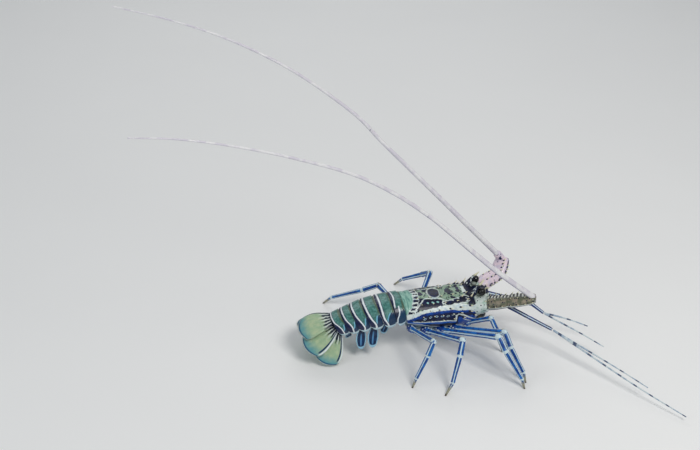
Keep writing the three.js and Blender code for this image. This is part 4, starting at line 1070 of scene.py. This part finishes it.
def tail_finish(name, first):
    """Teal shell with a pale band that has dark borders, and pale-edged flanks."""
    skin = Finish(name)
    run, down = skin.u + skin.drift(0.05, 3), skin.v
    teal = mixed(skin.noise(3, 4, 0.6).rise(0.35, 0.7), (48, 104, 98), (92, 150, 142))
    skin.colour = mixed(run.fall(0.05, 0.2) * 0.7, teal, (96, 100, 70))
    skin.paint(skin.cells(1.6).fall(0.1, 0.16) * 0.6, (24, 66, 70))
    fork = down - (run * 0.8 + 0.36)
    skin.paint(fork.rise(0, 0.03) * down.rise(0.58, 0.62), (12, 50, 84))
    skin.paint(fork.band(0, 0.04, 0.015) * down.within(0.56, 0.64, 1, 1.1), (116, 182, 208))
    skin.paint(run.rise(BAND_PLACE - 0.12, BAND_PLACE - 0.09), (5, 30, 84))
    fade = down.fall(0.6, 0.68) if first else down.fall(1.5, 1.7)
    skin.paint(run.band(BAND_PLACE, 0.062, 0.012) * fade, (230, 238, 240))
    skin.paint(run.rise(BAND_PLACE + 0.06, BAND_PLACE + 0.09), (2, 20, 66))
    if first:
        second = run - down.path(SECOND_BAND, 1.5)
        skin.paint(down.rise(0.5, 0.66), (14, 60, 92))
        skin.paint(second.rise(0.02, 0.05) * down.rise(0.4, 0.5), (8, 26, 60))
        skin.paint(second.band(0, 0.06, 0.015) * down.within(0.38, 0.42, 1.25, 1.3), (222, 234, 240))
    skin.paint(down.band(1.32, 0.12, 0.03), (190, 216, 226))
    skin.paint(down.rise(1.5, 1.6), (128, 146, 150))
    return skin.close(skin.noise(4) * 0.25 + 0.2, skin.grit(), 0.2, 0.4)


over_turn = np.abs(np.linspace(-1, 1, OVER_POINTS))
under_turn = 3 - np.abs(np.linspace(-1.8, 1.8, UNDER_POINTS))
turn = np.concatenate([over_turn, under_turn, [1]])
TAIL_FINISHES = [tail_finish("tail_shell_first", True)] + [tail_finish("tail_shell", False)] * 5
for index, (band, finish) in enumerate(zip(BANDS, TAIL_FINISHES), 1):
    gap = 0 if index == 1 else TAIL_GAP / np.linalg.norm(EDGES[index, :2] - EDGES[index - 1, :2])
    s = np.concatenate([[gap], np.linspace(0.04, 0.985, 36), [1]])
    run = s[:, None] + BAND_PLACE - along(band, turn)[None]
    random = np.random.default_rng(index)
    rows = []
    for _ in range(PLATE_HAIRS):
        spot = random.integers(OVER_POINTS, OVER_POINTS + UNDER_POINTS - 1)
        root = tail_ring(index, random.uniform(0.2, 0.9))[spot]
        lean = [-0.3, 0.2 * np.sign(root[1]), -1]
        rows.append((root, lean, PLATE_HAIR_RADIUS, random.uniform(0.8, 1.6)))
    plate = tube([tail_ring(index, k) for k in s], run, turn)
    dressed(f"abdomen_{index}", "tail_shell", finish, [plate], hairs(*zip(*rows), BREAST_FINISH))

# The tail fan is a middle blade and two more each side, thin, ribbed and soft at the
# end, spread like a drooping umbrella. Each has its root, tip, two half widths and level.
FAN_ROLL = math.radians(12)
FAN_PIVOT = np.array([-84, 0, 44])
FAN_AXIS = np.array([-0.96, 0, -0.28])
FAN_HUB = (-78, 0, 20)
FAN_STEP = 2.3
FAN_SHOULDER = 0.72
FAN_THICKNESS = 1.5
BLADES = {
    "telson": ((-84.5, 0, 46.5), (-123.8, 0, 36), 8, 17, 0),
    "inner": ((-82, 9, 41.5), (-120.8, 22, 28), 5.5, 16.5, 1),
    "outer": ((-80.5, 13, 36.5), (-102, 38.5, 15.5), 5.5, 16, 2),
}
BLADE_ROWS = 48
BLADE_COLUMNS = 61
BLADE_HAIR_START = 28
BLADE_HAIR_RADIUS = 0.07


def rolled(p):
    """The point turned about the fan's axis, as the whole fan is rolled to one side."""
    p = np.asarray(p, float) - FAN_PIVOT
    k = unit(FAN_AXIS)
    c, s = math.cos(-FAN_ROLL), math.sin(-FAN_ROLL)
    return p * c + np.cross(k, p) * s + k * (k @ p) * (1 - c) + FAN_PIVOT


def leaf(middle, thick, flip=False):
    """A grid of middle points with a thickness across, as one closed skin."""
    rows, cols = middle.shape[:2]
    normal = unit(np.cross(np.gradient(middle, axis=1), np.gradient(middle, axis=0)))
    half = normal * thick[..., None] / 2
    points = np.concatenate([(middle + half).reshape(-1, 3), (middle - half).reshape(-1, 3)])
    u = np.arange(rows) / (rows - 1)
    v = np.arange(cols) / (cols - 1)
    v = 1 - v if flip else v
    faces, lays = [], []

    def add_face(*corners):
        """A face from its corners, each with its layer, row and column."""
        faces.append([(under * rows + i) * cols + j for under, i, j in corners])
        lays.append([[u[i], v[j]] for under, i, j in corners])

    for i in range(rows - 1):
        for j in range(cols - 1):
            square = ((i, j), (i, j + 1), (i + 1, j + 1), (i + 1, j))
            add_face(*((0, *corner) for corner in square))
            add_face(*((1, *corner) for corner in square[::-1]))
    rim = [(0, j) for j in range(cols - 1)] + [(i, cols - 1) for i in range(rows - 1)]
    rim += [(rows - 1, j) for j in range(cols - 1, 0, -1)] + [(i, 0) for i in range(rows - 1, 0, -1)]
    for here, there in zip(rim, rim[1:] + rim[:1]):
        add_face((0, *there), (0, *here), (1, *here), (1, *there))
    return points, faces, lays


def free_edge(middle, start):
    """The points of a blade's edge from a row on, and the ways out of the blade there."""
    edge, within = (np.concatenate([middle[-1 - k], middle[start:-1, k], middle[start:-1, -1 - k]])
                    for k in (0, 3))
    return edge, unit(edge - within)


def blade_middle(kind, side):
    """The middle layer of a blade, its two charts and whether its lay is turned over."""
    near_root, far_tip, near, wide, level = BLADES[kind]
    root, tip = rolled(mirrored(near_root, side)), rolled(mirrored(far_tip, side))
    length = np.linalg.norm(tip - root)
    axis = unit(tip - root)
    outward = lerp(root, tip, 0.6) - rolled(FAN_HUB)
    outward = unit(outward - (outward @ axis) * axis)
    across = np.cross(axis, outward)
    u = np.linspace(0, 1, BLADE_ROWS)[:, None]
    v = np.linspace(-1, 1, BLADE_COLUMNS)[None]
    half = near + (wide - near) * np.sin(np.minimum(u / FAN_SHOULDER, 1) * np.pi / 2)
    half = half * (1 - 0.12 * np.maximum(0, (u - FAN_SHOULDER) / (1 - FAN_SHOULDER)) ** 2)
    far = length * (u - 0.14 * v**2 * u**3)
    bend = 0.05 * length * np.sin(np.pi * u) - 2 * v**2 * u - FAN_STEP * level * np.minimum(1, 3 * u)
    middle = root + axis * far[..., None] + across * (half * v)[..., None] + outward * bend[..., None]
    return middle, u, v, across @ [0, side, 0] < 0


def fan_finish(kind):
    """Cream green skin with fine rays, dark streaks at its root and a blue end."""
    skin = Finish(f"fan_{kind}")
    u, v = skin.u, skin.v
    wander = skin.drift(0.2, 4, 3)
    rays = v.wave(0, 0.028).rise(0, 1)
    skin.colour = skin.clouds((166, 194, 156), (190, 206, 166), 5, 4, 0.35, 0.7)
    skin.paint(rays * 0.28, (128, 168, 146))
    skin.paint((u + wander).rise(0.62, 0.98), (92, 160, 168))
    streaks = (v + skin.drift(0.12, 5)).wave(0.5, 0.19)
    skin.paint((u + wander * 1.4 + streaks * 0.1).fall(0.12, 0.27), (22, 38, 62))
    skin.paint(streaks.rise(0.35, 0.7) * (u + wander).fall(0.16, 0.42) * u.rise(0.03, 0.08), (226, 236, 232))
    if kind != "telson":
        skin.paint(v.band(0.9, 0.03, 0.01) * u.fall(0.78, 0.9), (20, 54, 92))
        skin.paint(v.rise(0.935, 0.95) * u.fall(0.86, 0.96), (228, 238, 238))
    skin.paint(u.rise(0.93, 0.965), (24, 84, 122))
    skin.paint(u.rise(0.982, 0.99), (206, 222, 222))
    skin.spiny((196, 206, 190))
    relief = rays * 0.6 + v.wave(0.5, 0.2) * 0.5 + skin.noise(1.5, 3) * 0.6
    return skin.close(skin.noise(4) * 0.2 + 0.35, relief, 0.22, 0.25)


FAN_FINISHES = {kind: fan_finish(kind) for kind in BLADES}
FAN = [("telson", 1, "telson")]
FAN += [(kind, side, f"uropod_{name}_{kind}") for name, side in SIDES.items() for kind in ("inner", "outer")]
for kind, side, name in FAN:
    middle, u, v, flip = blade_middle(kind, side)
    rib = 0.4 * np.cos(5 * np.pi * v / 2) ** 2 * np.minimum(1, 4 * u) * (1 - 0.5 * u)
    thick = FAN_THICKNESS * (1.4 - 0.7 * u) + rib
    thick = thick * np.minimum(1, 0.22 + (1 - np.abs(v)) * 7) * np.minimum(1, 0.3 + (1 - u) * 9)
    edge, away = free_edge(middle, BLADE_HAIR_START)
    random = np.random.default_rng(len(name))
    roots = np.repeat(edge - 0.3 * away, 3, axis=0)
    roots = roots + random.normal(0, 0.22, roots.shape)
    leans = np.repeat(away + unit(middle[-1, 30] - middle[-6, 30]), 3, axis=0)
    leans = leans + random.normal(0, 0.12, roots.shape)
    lengths = random.uniform(1.0, 1.9, len(roots))
    fringe = hairs(roots, leans, BLADE_HAIR_RADIUS, lengths, FAN_FINISHES[kind])
    dressed(name, "fan", FAN_FINISHES[kind], [leaf(middle, thick, flip)], fringe)

# The swimmerets are small soft leaves hung in pairs under the tail, blue with a pale
# edge and a fringe of fine hairs. Each has its root, tip and half width.
SWIMMERETS = {
    2: ((-23, 13.5, 38.2), (-28, 17, 29), 5),
    3: ((-37.5, 14.5, 36.2), (-41, 22.5, 14.5), 6.6),
    4: ((-52, 13.5, 34), (-54.5, 21.5, 13.5), 6.2),
    5: ((-64.5, 12.5, 30.4), (-71, 12.5, 27), 3.6),
}
PADDLE_HAIR_START = 9
PADDLE_HAIR_RADIUS = 0.06
skin = Finish("swimmeret")
from_middle = (skin.v * 2 - 1).size()
rim = from_middle.rise(0.76, 0.84).math("MAXIMUM", skin.u.rise(0.86, 0.91))
skin.colour = skin.clouds((4, 34, 72), (8, 56, 100), 4, 3)
skin.paint(from_middle.fall(0.1, 0.2) * skin.u.band(0.5, 0.32, 0.1), (84, 142, 192))
skin.paint(rim, (150, 198, 222))
skin.spiny((176, 196, 200))
PADDLE_FINISH = skin.close(skin.noise(2) * 0.2 + 0.35, skin.grit() + skin.v.wave(0, 0.06) * 0.4, 0.12)
for index, (root_left, tip_left, wide) in SWIMMERETS.items():
    for name, side in SIDES.items():
        root, tip = mirrored(root_left, side), mirrored(tip_left, side)
        length = np.linalg.norm(tip - root)
        axis = unit(tip - root)
        back = np.array([-1, 0.1 * side, 0])
        across = unit(back - (back @ axis) * axis)
        outward = np.cross(across, axis)
        u = np.linspace(0, 1, 30)[:, None]
        v = np.linspace(-1, 1, 25)[None]
        half = wide * (0.35 + 0.65 * np.sin(np.pi * np.minimum(0.12 + u * 0.8, 1)) ** 0.8)
        bulge = side * (1.2 * np.sin(np.pi * u) - 0.8 * v**2)
        middle = root + axis * (length * (u - 0.1 * v**2 * u))[..., None]
        middle = middle + across * (half * v)[..., None] + outward * bulge[..., None]
        thick = (1.6 - 0.7 * u) * (1 - 0.3 * v**2)
        thick = thick * np.minimum(1, 0.25 + (1 - np.abs(v)) * 4) * np.minimum(1, 0.3 + (1 - u) * 6)
        edge, away = free_edge(middle, PADDLE_HAIR_START)
        random = np.random.default_rng(index)
        leans = np.repeat(away + 0.6 * axis, 2, axis=0)
        leans = leans + random.normal(0, 0.15, leans.shape)
        roots = np.repeat(edge, 2, axis=0) + random.normal(0, 0.12, leans.shape)
        lengths = random.uniform(0.7, 1.3, len(leans))
        fringe = hairs(roots, leans, PADDLE_HAIR_RADIUS, lengths, PADDLE_FINISH)
        dressed(f"pleopod_{name}_{index}", "pleopods", PADDLE_FINISH, [leaf(middle, thick)], fringe)

# The room is a pale floor that runs on without an edge, soft light from large panels,
# and a camera on the animal's right, a little behind it and above. It is in metres.
FLOOR_HALF = 6
ROOM_TINT = (0.9, 0.95, 1, 1)
ROOM_STRENGTH = 0.3
PANEL_AIM = Vector((0, 0, 0.06))
floor_mesh = bpy.data.meshes.new("floor")
square = [(x * FLOOR_HALF, y * FLOOR_HALF, 0) for x, y in ((-1, -1), (1, -1), (1, 1), (-1, 1))]
floor_mesh.from_pydata(square, [], [(0, 1, 2, 3)])
skin = Finish("floor_paper")
skin.colour = mixed(skin.noise(200, 2), (243, 243, 242), (246, 246, 245))
floor_mesh.materials.append(skin.close(skin.noise(50) * 0.1 + 0.6, skin.noise(3), 0.02, 0))
placed("floor", floor_mesh)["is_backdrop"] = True

bpy.context.scene.view_settings.view_transform = "Standard"
world = bpy.data.worlds.new("room")
bpy.context.scene.world = world
world.use_nodes = True
world.node_tree.nodes["Background"].inputs["Color"].default_value = ROOM_TINT
world.node_tree.nodes["Background"].inputs["Strength"].default_value = ROOM_STRENGTH


def panel(name, place, size, power_watts, tint):
    light = bpy.data.lights.new(name, "AREA")
    light.shape = "RECTANGLE"
    light.size, light.size_y = size
    light.energy = power_watts
    light.color = tint
    thing = placed(name, light)
    thing.location = place
    thing.rotation_euler = (PANEL_AIM - Vector(place)).to_track_quat("-Z", "Y").to_euler()


panel("key", (0.5, -0.9, 1.5), (0.7, 0.7), 15, (1, 0.98, 0.95))
panel("fill", (-1.3, -0.5, 0.9), (1.2, 1.0), 3.5, (0.92, 0.96, 1))
panel("back", (0.1, 1.4, 1.2), (1.6, 0.8), 6, (1, 1, 1))

CAMERA_PLACE = (-291.0, -1073.4, 857.8)
CAMERA_SWING = math.radians(12)
CAMERA_DOWN = math.radians(32)
lens = bpy.data.cameras.new("camera")
lens.lens = 60
lens.sensor_width = 36
lens.clip_start = 0.01
camera = placed("camera", lens)
camera.location = np.array(CAMERA_PLACE) * MM + ORIGIN
level = math.cos(CAMERA_DOWN)
view = Vector((math.sin(CAMERA_SWING) * level, math.cos(CAMERA_SWING) * level, -math.sin(CAMERA_DOWN)))
camera.rotation_euler = view.to_track_quat("-Z", "Y").to_euler()
bpy.context.scene.camera = camera

low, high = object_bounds()
